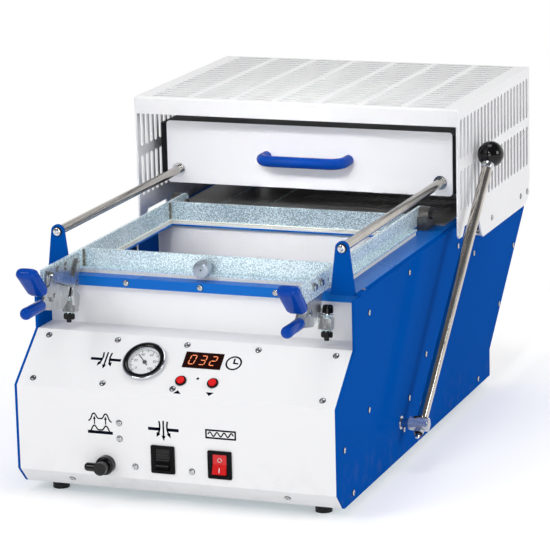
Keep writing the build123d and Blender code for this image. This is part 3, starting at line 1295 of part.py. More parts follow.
PIPE_Z = BASE_Z + PIPE_H
PUMP_PORT_X = -PUMP_L / 2 - 20
with BuildPart() as vacuum_pipe:
    with BuildLine() as pipe_path:
        FilletPolyline(
            (0, WELL_Y[1] - SHEET_T, PIPE_Z),
            (0, WELL_Y[1] + 24, PIPE_Z),
            (PUMP_PORT_X, WELL_Y[1] + 24, PIPE_Z),
            (PUMP_PORT_X, PUMP_Y - 30, PIPE_Z),
            radius=18,
        )
    with BuildSketch(Plane(origin=pipe_path.line @ 0, z_dir=pipe_path.line % 0)):
        Circle(PIPE_R - HOLE_GAP)
        Circle(PIPE_R - 2.5, mode=Mode.SUBTRACT)
    sweep(path=pipe_path.line)
keep(vacuum_pipe, "vacuum_pipe")

with BuildPart() as power_inlet:
    inlet_x = span_of(INLET_X, INLET_SIZE[0])
    slab(inlet_x, (REAR_FOOT_Y, REAR_FOOT_Y + 2), span_of(inlet_z, INLET_SIZE[1]))
    slab(
        span_of(INLET_X, INLET_SIZE[0] - 4.2),
        (REAR_FOOT_Y - 20, REAR_FOOT_Y),
        span_of(inlet_z, INLET_SIZE[1] - 4.2),
    )
    slab(
        span_of(INLET_X, INLET_SOCKET[0]),
        (REAR_FOOT_Y + 2 - INLET_DEPTH, REAR_FOOT_Y + 2),
        span_of(inlet_z, INLET_SOCKET[1]),
        Mode.SUBTRACT,
    )
    for x in (-7.0, 0.0, 7.0):
        slab(
            span_of(INLET_X + x, 2),
            (REAR_FOOT_Y + 2 - INLET_DEPTH, REAR_FOOT_Y - 2),
            span_of(inlet_z, 4),
        )
keep(power_inlet, "power_inlet")
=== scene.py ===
import logging
import math
from dataclasses import dataclass
from enum import Enum
from typing import Callable, Sequence

import bmesh
import bpy
from mathutils import Euler, Matrix, Vector
from mathutils.bvhtree import BVHTree


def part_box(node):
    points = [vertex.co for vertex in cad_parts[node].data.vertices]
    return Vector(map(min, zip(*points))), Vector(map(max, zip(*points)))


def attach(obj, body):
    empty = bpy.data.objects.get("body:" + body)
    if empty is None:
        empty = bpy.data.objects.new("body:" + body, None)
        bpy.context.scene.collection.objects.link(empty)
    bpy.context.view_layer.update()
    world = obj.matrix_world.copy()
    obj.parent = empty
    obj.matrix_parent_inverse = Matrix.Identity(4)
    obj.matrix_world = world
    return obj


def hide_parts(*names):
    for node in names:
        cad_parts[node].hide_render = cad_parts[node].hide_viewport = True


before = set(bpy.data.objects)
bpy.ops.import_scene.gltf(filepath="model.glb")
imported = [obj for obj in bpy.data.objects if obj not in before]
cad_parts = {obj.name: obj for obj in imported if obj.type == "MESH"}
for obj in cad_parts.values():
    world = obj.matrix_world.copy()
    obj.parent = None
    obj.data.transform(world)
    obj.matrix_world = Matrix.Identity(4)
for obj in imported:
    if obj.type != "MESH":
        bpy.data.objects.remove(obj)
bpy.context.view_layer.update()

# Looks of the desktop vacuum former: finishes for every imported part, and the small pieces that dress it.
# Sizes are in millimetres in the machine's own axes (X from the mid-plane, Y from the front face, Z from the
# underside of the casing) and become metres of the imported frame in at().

LOG = logging.getLogger("vacuum_former")
MM = 0.001
LOOK = "look_"
PARALLEL = 0.99

Colour = tuple[float, float, float, float]
Point2 = tuple[float, float]
Point3 = tuple[float, float, float]
Profile = Sequence[Point2]
Shape = bmesh.types.BMesh
Socket = bpy.types.NodeSocket
WHITE: Colour = (1.0, 1.0, 1.0, 1.0)

LEFT_PANEL, RIGHT_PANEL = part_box("side_panel_left"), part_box("side_panel_right")
ORIGIN = Vector(((LEFT_PANEL[0].x + RIGHT_PANEL[1].x) / 2, LEFT_PANEL[0].y, LEFT_PANEL[0].z))
X_AXIS, Y_AXIS, Z_AXIS = Vector((1, 0, 0)), Vector((0, 1, 0)), Vector((0, 0, 1))


def at(x: float, y: float, z: float) -> Vector:
    """Place a point of the machine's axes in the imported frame.

    Args:
        x: Millimetres right of the mid-plane.
        y: Millimetres behind the front face.
        z: Millimetres above the underside of the casing.

    Returns:
        The same point in metres.
    """
    return ORIGIN + Vector((x, y, z)) * MM


def srgb(red: int, green: int, blue: int) -> Colour:
    """Turn a colour as it is seen on a screen into the linear colour of a shader.

    Args:
        red: Red from 0 to 255.
        green: Green from 0 to 255.
        blue: Blue from 0 to 255.

    Returns:
        The linear colour.
    """
    linear = [
        c / 12.92 if c <= 0.04045 else ((c + 0.055) / 1.055) ** 2.4
        for c in (red / 255, green / 255, blue / 255)
    ]
    return (linear[0], linear[1], linear[2], 1.0)


# --- Node trees -------------------------------------------------------------------------------
class Signal:
    """A number that varies over a surface; arithmetic on it adds Math nodes."""

    def __init__(self, bench: "Bench", socket: Socket) -> None:
        """Wrap a socket of a tree."""
        self.bench = bench
        self.socket = socket

    def math(self, operation: str, *others: "Number", first: "Number | None" = None) -> "Signal":
        """Add one Math node.

        Args:
            operation: The node's operation.
            others: The operands that follow this signal.
            first: An operand that comes before this signal, where the order matters.

        Returns:
            The node's result.
        """
        operands = [self, *others] if first is None else [first, self]
        inputs = dict(enumerate(operands))
        node = self.bench.add("ShaderNodeMath", {"operation": operation}, inputs)
        return Signal(self.bench, node.outputs[0])

    def __add__(self, other: "Number") -> "Signal":
        """Return the sum."""
        return self.math("ADD", other)

    __radd__ = __add__

    def __sub__(self, other: "Number") -> "Signal":
        """Return the difference."""
        return self.math("SUBTRACT", other)

    def __rsub__(self, other: float) -> "Signal":
        """Return a number less this signal."""
        return self.math("SUBTRACT", first=other)

    def __mul__(self, other: "Number") -> "Signal":
        """Return the product."""
        return self.math("MULTIPLY", other)

    __rmul__ = __mul__

    def __truediv__(self, other: "Number") -> "Signal":
        """Return the quotient."""
        return self.math("DIVIDE", other)

    def __pow__(self, other: float) -> "Signal":
        """Return the power."""
        return self.math("POWER", other)

    def above(self, threshold: float, softness: float = 0.05) -> "Signal":
        """Return a mask that rises from 0 to 1 about a threshold."""
        rise = (self - (threshold - softness)) / (2 * softness)
        return rise.math("MAXIMUM", 0.0).math("MINIMUM", 1.0)


Number = Signal | float


class Bench:
    """Adds nodes to a tree."""

    def __init__(self, tree: bpy.types.NodeTree) -> None:
        """Start with an empty tree."""
        tree.nodes.clear()
        self.tree = tree

    def add(self, kind: str, settings: dict | None = None, inputs: dict | None = None) -> bpy.types.Node:
        """Add a node.

        Args:
            kind: The node's type.
            settings: Its properties, set first.
            inputs: Values, sockets or signals for its sockets, by name or index.

        Returns:
            The node.
        """
        node = self.tree.nodes.new(kind)
        for key, value in (settings or {}).items():
            setattr(node, key, value)
        for key, value in (inputs or {}).items():
            if isinstance(value, Signal):
                value = value.socket
            if isinstance(value, Socket):
                self.tree.links.new(value, node.inputs[key])
            else:
                node.inputs[key].default_value = value
        return node


class Pattern(Bench):
    """The tree of one material, on Object coordinates."""

    MIX_A, MIX_B, MIX_COLOUR = 6, 7, 2

    def __init__(self, name: str) -> None:
        """Make the material and its coordinates.

        Args:
            name: The finish's name.
        """
        self.material = bpy.data.materials.new(LOOK + name)
        self.material.use_nodes = True
        super().__init__(self.material.node_tree)
        self.coordinates = self.add("ShaderNodeTexCoord").outputs["Object"]

    def stretched(self, scale: Sequence[float], turn: Sequence[float] = (0, 0, 0)) -> Socket:
        """Return coordinates turned, then stretched."""
        facing = self.add("ShaderNodeMapping", inputs={"Vector": self.coordinates, "Rotation": turn})
        return self.add("ShaderNodeMapping", inputs={"Vector": facing.outputs[0], "Scale": scale}).outputs[0]

    def noise(self, scale: float, detail: float = 3.0, vector: Socket | None = None) -> Signal:
        """Return a cloudy signal about 0.5, with features of 1/scale metres."""
        inputs = {"Vector": vector or self.coordinates, "Scale": scale, "Detail": detail}
        return Signal(self, self.add("ShaderNodeTexNoise", inputs=inputs).outputs[0])

    def streaks(self, stretch: Point3, turn: Point3 = (0, 0, 0), detail: float = 3.0) -> Signal:
        """Return a cloudy signal drawn out along an axis."""
        return self.noise(1.0, detail, self.stretched(stretch, turn))

    def cells(self, scale: float) -> tuple[Signal, Signal]:
        """Scatter Voronoi cells.

        Args:
            scale: Cells along a metre.

        Returns:
            The distance from a cell's centre, and a random level for each cell.
        """
        node = self.add("ShaderNodeTexVoronoi", inputs={"Vector": self.coordinates, "Scale": scale})
        level = self.add("ShaderNodeSeparateColor", inputs={0: node.outputs["Color"]})
        return Signal(self, node.outputs["Distance"]), Signal(self, level.outputs[0])

    def place(self, axis: int) -> Signal:
        """Return the place along an axis in metres."""
        return Signal(self, self.add("ShaderNodeSeparateXYZ", inputs={0: self.coordinates}).outputs[axis])

    def blend(self, share: Signal, low: Colour | Socket, high: Colour) -> Socket:
        """Return a colour between two colours."""
        inputs = {0: share, self.MIX_A: low, self.MIX_B: high}
        return self.add("ShaderNodeMix", {"data_type": "RGBA"}, inputs).outputs[self.MIX_COLOUR]

    def relief(self, height: Signal, depth: float, strength: float = 1.0) -> Socket:
        """Return the normal of a bumpy surface, depth in metres."""
        inputs = {"Height": height, "Distance": depth, "Strength": strength}
        return self.add("ShaderNodeBump", inputs=inputs).outputs[0]

    def close(self, inputs: dict) -> bpy.types.Material:
        """Finish with a Principled shader.

        Args:
            inputs: Values, sockets or signals for the shader's sockets.

        Returns:
            The material.
        """
        shader = self.add("ShaderNodeBsdfPrincipled", inputs=inputs)
        self.add("ShaderNodeOutputMaterial", inputs={"Surface": shader.outputs[0]})
        return self.material


# --- Finishes ---------------------------------------------------------------------------------
MIDDLE = 0.5


@dataclass(frozen=True)
class Look:
    """What every finish has: a name, the sockets of its shader, and a material made once."""

    name: str

    def sockets(self, pattern: Pattern) -> dict:
        """Return the values and links of the shader's sockets."""
        raise NotImplementedError(f"{self.name} has no sockets on {pattern}")

    def material(self) -> bpy.types.Material:
        """Return the material, made at the first call.

        Returns:
            The material.
        """
        known = bpy.data.materials.get(LOOK + self.name)
        if known:
            return known
        pattern = Pattern(self.name)
        return pattern.close(self.sockets(pattern))


@dataclass(frozen=True)
class Paint(Look):
    """Powder coat: a slight orange peel, broad unevenness, and scuffs and grime low on the casing."""

    colour: Colour
    shade: Colour
    roughness: float = 0.32
    coat: float = 0.25
    scuff: float = 0.35
    specular: float = 0.3
    peel_scale: float = 520.0
    peel_depth: float = 0.00005
    coat_roughness: float = 0.12
    broad_scale: float = 5.0
    broad_rough: float = 0.12
    shade_cut: Point2 = (0.5, 0.35)
    scratch_stretch: Point3 = (900, 900, 35)
    scratch_turn: Point3 = (0.4, 0.3, 0.2)
    scratch_cut: Point2 = (0.68, 0.03)
    scuff_scale: float = 28.0
    scuff_cut: Point2 = (0.56, 0.08)
    scuff_rough: float = 0.4
    scuff_depth: float = 0.3
    grime: Colour = srgb(120, 118, 112)
    grime_scale: float = 60.0
    grime_cut: Point2 = (0.62, 0.12)
    grime_share: float = 0.12
    grime_fade: float = 14.0
    grime_low: Point2 = (0.5, 0.5)

    def tint(self, pattern: Pattern, colour: Socket) -> Socket:
        """Return the paint's colour, the same all over."""
        return colour

    def sockets(self, pattern: Pattern) -> dict:
        """Return the values and links of the shader's sockets.

        Args:
            pattern: The material's tree.

        Returns:
            Them, by socket.
        """
        broad = pattern.noise(self.broad_scale)
        peel = pattern.noise(self.peel_scale, detail=2.0)
        scratches = pattern.streaks(self.scratch_stretch, self.scratch_turn, detail=4.0)
        patches = pattern.noise(self.scuff_scale).above(*self.scuff_cut)
        scuffs = scratches.above(*self.scratch_cut) * patches * self.scuff
        colour = pattern.blend(broad.above(*self.shade_cut), self.shade, self.colour)
        low = (1.0 - pattern.place(axis=2) * self.grime_fade).above(*self.grime_low)
        grime = pattern.noise(self.grime_scale, detail=6.0).above(*self.grime_cut) * low
        return {
            "Base Color": self.tint(pattern, pattern.blend(grime * self.grime_share, colour, self.grime)),
            "Roughness": self.roughness + (broad - MIDDLE) * self.broad_rough + scuffs * self.scuff_rough,
            "Specular IOR Level": self.specular,
            "Normal": pattern.relief(peel + scuffs * self.scuff_depth, self.peel_depth),
            "Coat Weight": self.coat,
            "Coat Roughness": self.coat_roughness,
        }


@dataclass(frozen=True)
class WellPaint(Paint):
    """The paint of the well: blue walls and a white rear wall, whiter than the casing's white as painted
    light against the well's shade.
    """

    # Whiter than the casing's white paint: painted light on the rear wall, which lies in the well's shade.
    rear: Colour = srgb(250, 250, 252)
    rear_y: float = 349.5
    edge: float = 0.0002

    def tint(self, pattern: Pattern, colour: Socket) -> Socket:
        """Return the paint's colour, white at the rear."""
        behind = pattern.place(axis=1).above(at(0, self.rear_y, 0).y, self.edge)
        return pattern.blend(behind, colour, self.rear)


@dataclass(frozen=True)
class Zinc(Look):
    """Galvanised steel with its spangle and a faint rolling direction."""

    light: Colour = srgb(226, 241, 247)
    dark: Colour = srgb(170, 200, 212)
    spangle_scale: float = 1100.0
    roughness: float = 0.27
    metallic: float = 0.4
    level_share: float = 1.1
    level_rough: float = 0.16
    roll_stretch: Point3 = (30, 700, 700)
    roll_share: float = 0.15
    bloom_scale: float = 22.0
    bloom_share: float = 0.9
    bloom_rough: float = 0.14
    relief_share: float = 0.5
    depth: float = 0.00004

    def sockets(self, pattern: Pattern) -> dict:
        """Return the values and links of the shader's sockets.

        Args:
            pattern: The material's tree.

        Returns:
            Them, by socket.
        """
        edge, level = pattern.cells(self.spangle_scale)
        rolled = pattern.streaks(self.roll_stretch)
        bloom = pattern.noise(self.bloom_scale, detail=5.0) - MIDDLE
        share = level * self.level_share + rolled * self.roll_share + bloom * self.bloom_share
        height = edge * self.relief_share + rolled * self.relief_share
        return {
            "Base Color": pattern.blend(share, self.dark, self.light),
            "Metallic": self.metallic,
            "Roughness": self.roughness + (level - MIDDLE) * self.level_rough + bloom * self.bloom_rough,
            "Normal": pattern.relief(height, self.depth),
        }


@dataclass(frozen=True)
class Brushed(Look):
    """Metal brushed or turned along one direction, which the turn brings onto Z."""

    light: Colour
    dark: Colour
    turn: Point3 = (0.0, 0.0, 0.0)
    along: float = 6.0
    across: float = 900.0
    roughness: float = 0.24
    metallic: float = 1.0
    line_share: float = 0.7
    line_rough: float = 0.12
    wear_scale: float = 45.0
    wear_share: float = 0.3
    wear_rough: float = 0.14
    depth: float = 0.00002

    def sockets(self, pattern: Pattern) -> dict:
        """Return the values and links of the shader's sockets.

        Args:
            pattern: The material's tree.

        Returns:
            Them, by socket.
        """
        lines = pattern.streaks((self.across, self.across, self.along), self.turn)
        wear = pattern.noise(self.wear_scale, detail=5.0)
        share = lines * self.line_share + wear * self.wear_share
        uneven = (lines - MIDDLE) * self.line_rough + (wear - MIDDLE) * self.wear_rough
        return {
            "Base Color": pattern.blend(share, self.dark, self.light),
            "Metallic": self.metallic,
            "Roughness": self.roughness + uneven,
            "Normal": pattern.relief(lines, self.depth),
        }


@dataclass(frozen=True)
class Moulded(Look):
    """Plastic or rubber with a fine grain."""

    colour: Colour
    roughness: float = 0.3
    grain_scale: float = 1400.0
    grain_depth: float = 0.00003
    coat: float = 0.0
    tone: float = 1.35
    specular: float = 0.3
    coat_roughness: float = 0.06
    grain_rough: float = 0.05
    handling_scale: float = 70.0
    handling_cut: Point2 = (0.5, 0.3)
    handling_rough: float = 0.16
    lift: float = 0.004

    def sockets(self, pattern: Pattern) -> dict:
        """Return the values and links of the shader's sockets.

        Args:
            pattern: The material's tree.

        Returns:
            Them, by socket.
        """
        grain = pattern.noise(self.grain_scale, detail=2.0)
        handling = pattern.noise(self.handling_scale, detail=5.0)
        uneven = (handling - MIDDLE) * self.handling_rough + (grain - MIDDLE) * self.grain_rough
        lighter = (*[min(1.0, c * self.tone + self.lift) for c in self.colour[:3]], 1.0)
        return {
            "Base Color": pattern.blend(handling.above(*self.handling_cut), self.colour, lighter),
            "Roughness": self.roughness + uneven,
            "Specular IOR Level": self.specular,
            "Normal": pattern.relief(grain, self.grain_depth),
            "Coat Weight": self.coat,
            "Coat Roughness": self.coat_roughness,
        }


@dataclass(frozen=True)
class Foam(Look):
    """Cream cellular rubber of the clamping seals."""

    colour: Colour = srgb(242, 242, 236)
    pore: Colour = srgb(200, 198, 188)
    roughness: float = 0.82
    pore_scale: float = 900.0
    pore_cut: Point2 = (0.35, 0.3)
    pore_share: float = 0.7
    pore_depth: float = 0.00015
    stain_scale: float = 35.0
    stain_share: float = 0.3
    stain_rough: float = 0.1

    def sockets(self, pattern: Pattern) -> dict:
        """Return the values and links of the shader's sockets.

        Args:
            pattern: The material's tree.

        Returns:
            Them, by socket.
        """
        pores, _ = pattern.cells(self.pore_scale)
        stain = pattern.noise(self.stain_scale, detail=4.0)
        share = pores.above(*self.pore_cut) * self.pore_share + stain * self.stain_share
        return {
            "Base Color": pattern.blend(share, self.pore, self.colour),
            "Roughness": self.roughness + (stain - MIDDLE) * self.stain_rough,
            "Normal": pattern.relief(pores, self.pore_depth),
        }


@dataclass(frozen=True)
class Mirror(Look):
    """Polished sheet under the heater: smoky, heat-stained and nearly a mirror."""

    clear: Colour = srgb(196, 197, 200)
    stained: Colour = srgb(132, 130, 127)
    roughness: float = 0.26
    metallic: float = 0.6
    stain_scale: float = 9.0
    stain_cut: Point2 = (0.5, 0.25)
    stain_rough: float = 0.16
    line_stretch: Point3 = (12, 500, 500)
    line_rough: float = 0.08
    line_depth: float = 0.2
    depth: float = 0.0002

    def sockets(self, pattern: Pattern) -> dict:
        """Return the values and links of the shader's sockets.

        Args:
            pattern: The material's tree.

        Returns:
            Them, by socket.
        """
        stain = pattern.noise(self.stain_scale, detail=6.0)
        lines = pattern.streaks(self.line_stretch)
        return {
            "Base Color": pattern.blend(stain.above(*self.stain_cut), self.stained, self.clear),
            "Metallic": self.metallic,
            "Roughness": self.roughness + stain * self.stain_rough + (lines - MIDDLE) * self.line_rough,
            "Normal": pattern.relief(stain + lines * self.line_depth, self.depth),
        }


@dataclass(frozen=True)
class Glowing(Look):
    """Plastic lit from inside."""

    colour: Colour
    glow: Colour
    strength: float
    roughness: float = 0.22
    patch_scale: float = 300.0
    patch_rough: float = 0.1
    patch_glow: float = 0.3
    depth: float = 0.00002

    def sockets(self, pattern: Pattern) -> dict:
        """Return the values and links of the shader's sockets.

        Args:
            pattern: The material's tree.

        Returns:
            Them, by socket.
        """
        patch = pattern.noise(self.patch_scale, detail=2.0)
        return {
            "Base Color": pattern.blend(patch, self.colour, self.glow),
            "Roughness": self.roughness + (patch - MIDDLE) * self.patch_rough,
            "Emission Color": pattern.blend(patch * self.patch_glow, self.glow, self.colour),
            "Emission Strength": self.strength,
            "Normal": pattern.relief(patch, self.depth),
        }


@dataclass(frozen=True)
class Glass(Look):
    """A thin clear disc."""

    light: Colour = srgb(245, 250, 250)
    dark: Colour = srgb(225, 235, 238)
    roughness: float = 0.03
    alpha: float = 0.04
    smear_scale: float = 90.0
    smear_rough: float = 0.05
    smear_alpha: float = 0.03
    depth: float = 0.00001

    def sockets(self, pattern: Pattern) -> dict:
        """Return the values and links of the shader's sockets.

        Args:
            pattern: The material's tree.

        Returns:
            Them, by socket.
        """
        smear = pattern.noise(self.smear_scale, detail=4.0)
        return {
            "Base Color": pattern.blend(smear, self.dark, self.light),
            "Roughness": self.roughness + smear * self.smear_rough,
            "Alpha": self.alpha + smear * self.smear_alpha,
            "Normal": pattern.relief(smear, self.depth),
        }


TURNED_TO_X = (0.0, math.pi / 2, 0.0)
TURNED_TO_Y = (math.pi / 2, 0.0, 0.0)
TURNED_TO_LEVER = (0.766, 0.0, 0.0)
SMOOTH = 0.00001
GLASSY = 0.000004


class Finish(Enum):
    """The finishes of the machine."""

    BLUE_PAINT = Paint(
        "blue_paint", srgb(2, 80, 168), srgb(1, 70, 152), roughness=0.34, coat=0.02, specular=0.0
    )
    # Lighter and greener than the casing's blue: partly the deck's own blue, partly painted light for the
    # lit front lip.
    DECK_PAINT = Paint(
        "deck_paint", srgb(8, 106, 196), srgb(3, 92, 180), roughness=0.28, coat=0.16, specular=0.05
    )
    WELL_PAINT = WellPaint(
        "well_paint", srgb(2, 62, 140), srgb(1, 50, 120), roughness=0.3, coat=0.05, specular=0.0
    )
    WHITE_PAINT = Paint(
        "white_paint", srgb(237, 237, 238), srgb(232, 232, 234), roughness=0.4, coat=0.1, scuff=0.2
    )
    HOOD_PAINT = Paint(
        "hood_paint", srgb(237, 237, 238), srgb(230, 230, 232), roughness=0.44, coat=0.05, scuff=0.15
    )
    # Whiter than the casing's white paint: painted light, which lifts the heater panel out of the shade
    # under the hood.
    CARRIAGE_PAINT = Paint(
        "carriage_paint", srgb(246, 246, 248), srgb(242, 242, 245), roughness=0.4, coat=0.1
    )
    BLACK_METAL = Paint(
        "black_metal", srgb(40, 40, 44), srgb(24, 24, 27), roughness=0.45, coat=0.0, scuff=0.6, specular=0.04
    )
    ZINC = Zinc("zinc")
    WELD = Zinc("weld", srgb(150, 140, 120), srgb(40, 34, 26), spangle_scale=700.0, roughness=0.4)
    PLATED = Brushed(
        "plated", srgb(240, 244, 246), srgb(66, 70, 74), along=120.0, across=420.0, metallic=0.85
    )
    STAINLESS_ROD = Brushed(
        "stainless_rod", srgb(232, 228, 220), srgb(120, 112, 104), TURNED_TO_Y, roughness=0.18
    )
    STAINLESS_LEVER = Brushed(
        "stainless_lever", srgb(248, 243, 236), srgb(138, 130, 120), TURNED_TO_LEVER, roughness=0.16
    )
    STEEL = Brushed("bright_steel", srgb(222, 224, 226), srgb(150, 152, 156), roughness=0.16)
    CHROME = Brushed("chrome", srgb(232, 234, 238), srgb(196, 200, 206), roughness=0.06, across=200.0)
    ALUMINIUM = Brushed("aluminium", srgb(206, 208, 212), srgb(166, 170, 174), along=20.0, roughness=0.34)
    HEATED = Brushed("heated_steel", srgb(132, 130, 128), srgb(70, 66, 62), roughness=0.4)
    # The hub's coarse light and dark bands along its axis are painted reflection: they stand for the bright
    # band and dark edges of the chrome hub, not for brushing.
    SATIN_PAINTED_BANDS = Brushed(
        "satin_steel", srgb(250, 252, 255), srgb(136, 142, 150), TURNED_TO_X,
        along=3.0, across=70.0, roughness=0.24, metallic=0.8,
    )
    TURNED = Brushed("turned_zinc", srgb(190, 200, 214), srgb(140, 152, 168), along=20.0, roughness=0.34)
    POLISHED = Mirror("polished_sheet")
    BLACK_GLOSS = Moulded("black_gloss", srgb(5, 5, 7), 0.07, grain_depth=GLASSY, coat=0.25, specular=0.2)
    BLACK_MATT = Moulded("black_matt", srgb(8, 8, 10), 0.3, specular=0.07)
    BLUE_GRIP = Moulded(
        "blue_grip", srgb(1, 62, 156), 0.12, grain_depth=SMOOTH, coat=0.14, tone=1.0, specular=0.05
    )
    RED_BUTTON = Moulded("red_gloss", srgb(214, 26, 30), 0.2, grain_depth=SMOOTH, coat=0.4, tone=1.15)
    RED_LAMP = Glowing("red_lamp", srgb(176, 8, 12), srgb(214, 22, 24), 0.1)
    AMBER_WINDOW = Moulded("amber_window", srgb(30, 5, 3), 0.3, grain_depth=GLASSY, specular=0.05)
    AMBER_SEGMENT = Glowing("amber_segment", srgb(228, 112, 70), srgb(240, 150, 104), 0.8)
    RUBBER = Moulded("rubber_black", srgb(12, 12, 13), 0.5, grain_scale=700.0, grain_depth=0.00008)
    CAP = Moulded("cap_black", srgb(6, 6, 7), 0.18, grain_depth=SMOOTH)
    SEAL = Foam("seal")
    CERAMIC = Moulded(
        "ceramic", srgb(222, 214, 200), 0.72, grain_scale=900.0, grain_depth=0.0001, tone=1.05
    )
    DIAL = Moulded("dial", srgb(232, 232, 234), 0.5, grain_depth=SMOOTH, tone=1.03)
    GLASS = Glass("glass")
    INK = Moulded("ink", srgb(6, 8, 24), 0.6, grain_depth=SMOOTH, specular=0.0)

    def material(self) -> bpy.types.Material:
        """Return the finish's material."""
        return self.value.material()


NODE_FINISHES: dict[Finish, tuple[str, ...]] = {
    Finish.BLUE_PAINT: ("side_panel_left", "side_panel_right", "rod_brackets"),
    Finish.DECK_PAINT: ("deck_plate",),
    Finish.WELL_PAINT: ("well_walls",),
    Finish.WHITE_PAINT: ("control_panel", "rear_panel"),
    Finish.CARRIAGE_PAINT: ("heater_panel",),
    Finish.HOOD_PAINT: ("hood_cover", "hood_sides"),
    Finish.ZINC: ("base_plate", "clamp_frame"),
    Finish.PLATED: (
        "clamp_bodies", "clamp_link_left", "clamp_link_right", "clamp_hook_left", "clamp_hook_right",
        "clamp_handle_left", "clamp_handle_right",
    ),
    Finish.STAINLESS_ROD: ("guide_rods",),
    Finish.STAINLESS_LEVER: ("lever_rod",),
    Finish.STEEL: ("lift_shaft", "guide_posts", "shaft_bushes", "heater_bushes"),
    Finish.CHROME: ("gauge_case",),
    Finish.SATIN_PAINTED_BANDS: ("lever_hub",),
    Finish.HEATED: ("heater_reflector", "hinge_blocks"),
    Finish.ALUMINIUM: ("table_plate", "frame_knob"),
    Finish.BLACK_METAL: ("vacuum_pump", "heater_box", "table_yoke"),
    Finish.POLISHED: ("heat_shield",),
    Finish.BLACK_GLOSS: ("button_rings", "vacuum_rocker", "lever_ball", "release_valve", "release_lever"),
    Finish.BLACK_MATT: ("switch_housings", "power_inlet", "lift_rollers", "gauge_needle"),
    Finish.BLUE_GRIP: ("heater_handle",),
    Finish.RED_BUTTON: ("timer_button_left", "timer_button_right"),
    Finish.RED_LAMP: ("heater_rocker",),
    Finish.AMBER_WINDOW: ("timer_module",),
    Finish.RUBBER: ("feet", "vacuum_pipe"),
    Finish.SEAL: ("lower_seal", "upper_seal", "table_seal"),
    Finish.CERAMIC: ("heater_elements",),
    Finish.DIAL: ("gauge_dial",),
    Finish.GLASS: ("gauge_glass",),
}


def dress_nodes() -> None:
    """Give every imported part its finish."""
    for finish, nodes in NODE_FINISHES.items():
        for node in nodes:
            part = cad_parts[node]
            part.data.materials.clear()
            part.data.materials.append(finish.material())
    dressed = {node for nodes in NODE_FINISHES.values() for node in nodes}
    LOG.info("finishes on %d packed parts, left: %s", len(dressed), sorted(set(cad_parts) - dressed))


# --- Meshes -----------------------------------------------------------------------------------
def add_piece(
    name: str, mesh: bpy.types.Mesh, finish: Finish, body: str, nodes: Sequence[str] = ()
) -> bpy.types.Object:
    """Make a mesh a piece of the machine.

    Args:
        name: The piece's name.
        mesh: Its mesh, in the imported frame.
        finish: Its finish.
        body: The body that it rides on.
        nodes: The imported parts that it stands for.

    Returns:
        The piece.
    """
    mesh.name = name
    mesh.materials.clear()
    mesh.materials.append(finish.material())
    piece = bpy.data.objects.new(name, mesh)
    bpy.context.scene.collection.objects.link(piece)
    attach(piece, body)
    if nodes:
        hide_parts(*nodes)
    LOG.info("%s: %d faces on %s", name, len(mesh.polygons), body)
    return piece


MERGE_REACH = 1e-7


def mesh_of(shape: Shape, sharp_degrees: float = 35.0) -> bpy.types.Mesh:
    """Close a bmesh into a smooth-shaded mesh with outward faces.

    Args:
        shape: The bmesh, which is freed.
        sharp_degrees: The angle between two faces past which their edge stays sharp.

    Returns:
        The mesh.
    """
    bmesh.ops.remove_doubles(shape, verts=shape.verts, dist=MERGE_REACH)
    bmesh.ops.recalc_face_normals(shape, faces=shape.faces)
    mesh = bpy.data.meshes.new("mesh")
    shape.to_mesh(mesh)
    shape.free()
    mesh.shade_smooth()
    mesh.set_sharp_from_angle(angle=math.radians(sharp_degrees))
    return mesh


def loft(rings: Sequence[Sequence[Vector]], shape: Shape | None = None, hollow: bool = False) -> Shape:
    """Skin closed rings of equal length.

    Args:
        rings: The rings, in order.
        shape: A bmesh to add to.
        hollow: Whether the last ring joins the first, in place of a cap on each.

    Returns:
        The bmesh.
    """
    shape = shape or bmesh.new()
    rows = [[shape.verts.new(point) for point in ring] for ring in rings]
    count = len(rows[0])
    following = [*rows[1:], rows[0]] if hollow else rows[1:]
    for low, high in zip(rows, following):
        for index in range(count):
            after = (index + 1) % count
            shape.faces.new((low[index], low[after], high[after], high[index]))
    if not hollow:
        shape.faces.new(rows[0][::-1])
        shape.faces.new(rows[-1])
    return shape


def basis(direction: Vector, reference: Vector = X_AXIS) -> tuple[Vector, Vector]:
    """Find two unit vectors across a direction.

    Args:
        direction: The direction.
        reference: What the first is nearest to.

    Returns:
        Both vectors.
    """
    if abs(reference.dot(direction)) > PARALLEL:
        reference = Y_AXIS
    first = (reference - direction * reference.dot(direction)).normalized()
    return first, direction.cross(first)


def round_angles(steps: int) -> list[float]:
    """Return equal steps round a full turn."""
    return [2 * math.pi * step / steps for step in range(steps)]


def turned(
    base: Vector, direction: Vector, profile: Profile, steps: int = 40,
    shape: Shape | None = None, hollow: bool = False,
) -> Shape:
    """Turn a profile about a line.

    Args:
        base: Where the line starts.
        direction: The line's direction.
        profile: Points of (distance along, radius) in millimetres.
        steps: The number of sides.
        shape: A bmesh to add to.
        hollow: Whether the profile closes on itself, for a ring that is open in the middle.

    Returns:
        The bmesh.
    """
    across, up = basis(direction)
    rings = []
    for distance, radius in profile:
        centre = base + direction * distance * MM
        rings.append([
            centre + (across * math.cos(a) + up * math.sin(a)) * radius * MM for a in round_angles(steps)
        ])
    return loft(rings, shape, hollow)


def mm(**sizes: float) -> dict[str, float]:
    """Name sizes in millimetres as a tree's inputs, in metres: head_radius becomes Head Radius."""
    return {name.replace("_", " ").title(): size * MM for name, size in sizes.items()}


@dataclass(frozen=True)
class Face:
    """A flat face of the casing that carries marks and controls."""

    origin: Vector
    across: Vector
    up: Vector

    @property
    def out(self) -> Vector:
        """Return the outward direction."""
        return self.across.cross(self.up)

    def point(self, u: float, v: float, proud: float = 0.0) -> Vector:
        """Return a point (u, v) millimetres on the face, proud of it."""
        return self.origin + (self.across * u + self.up * v + self.out * proud) * MM


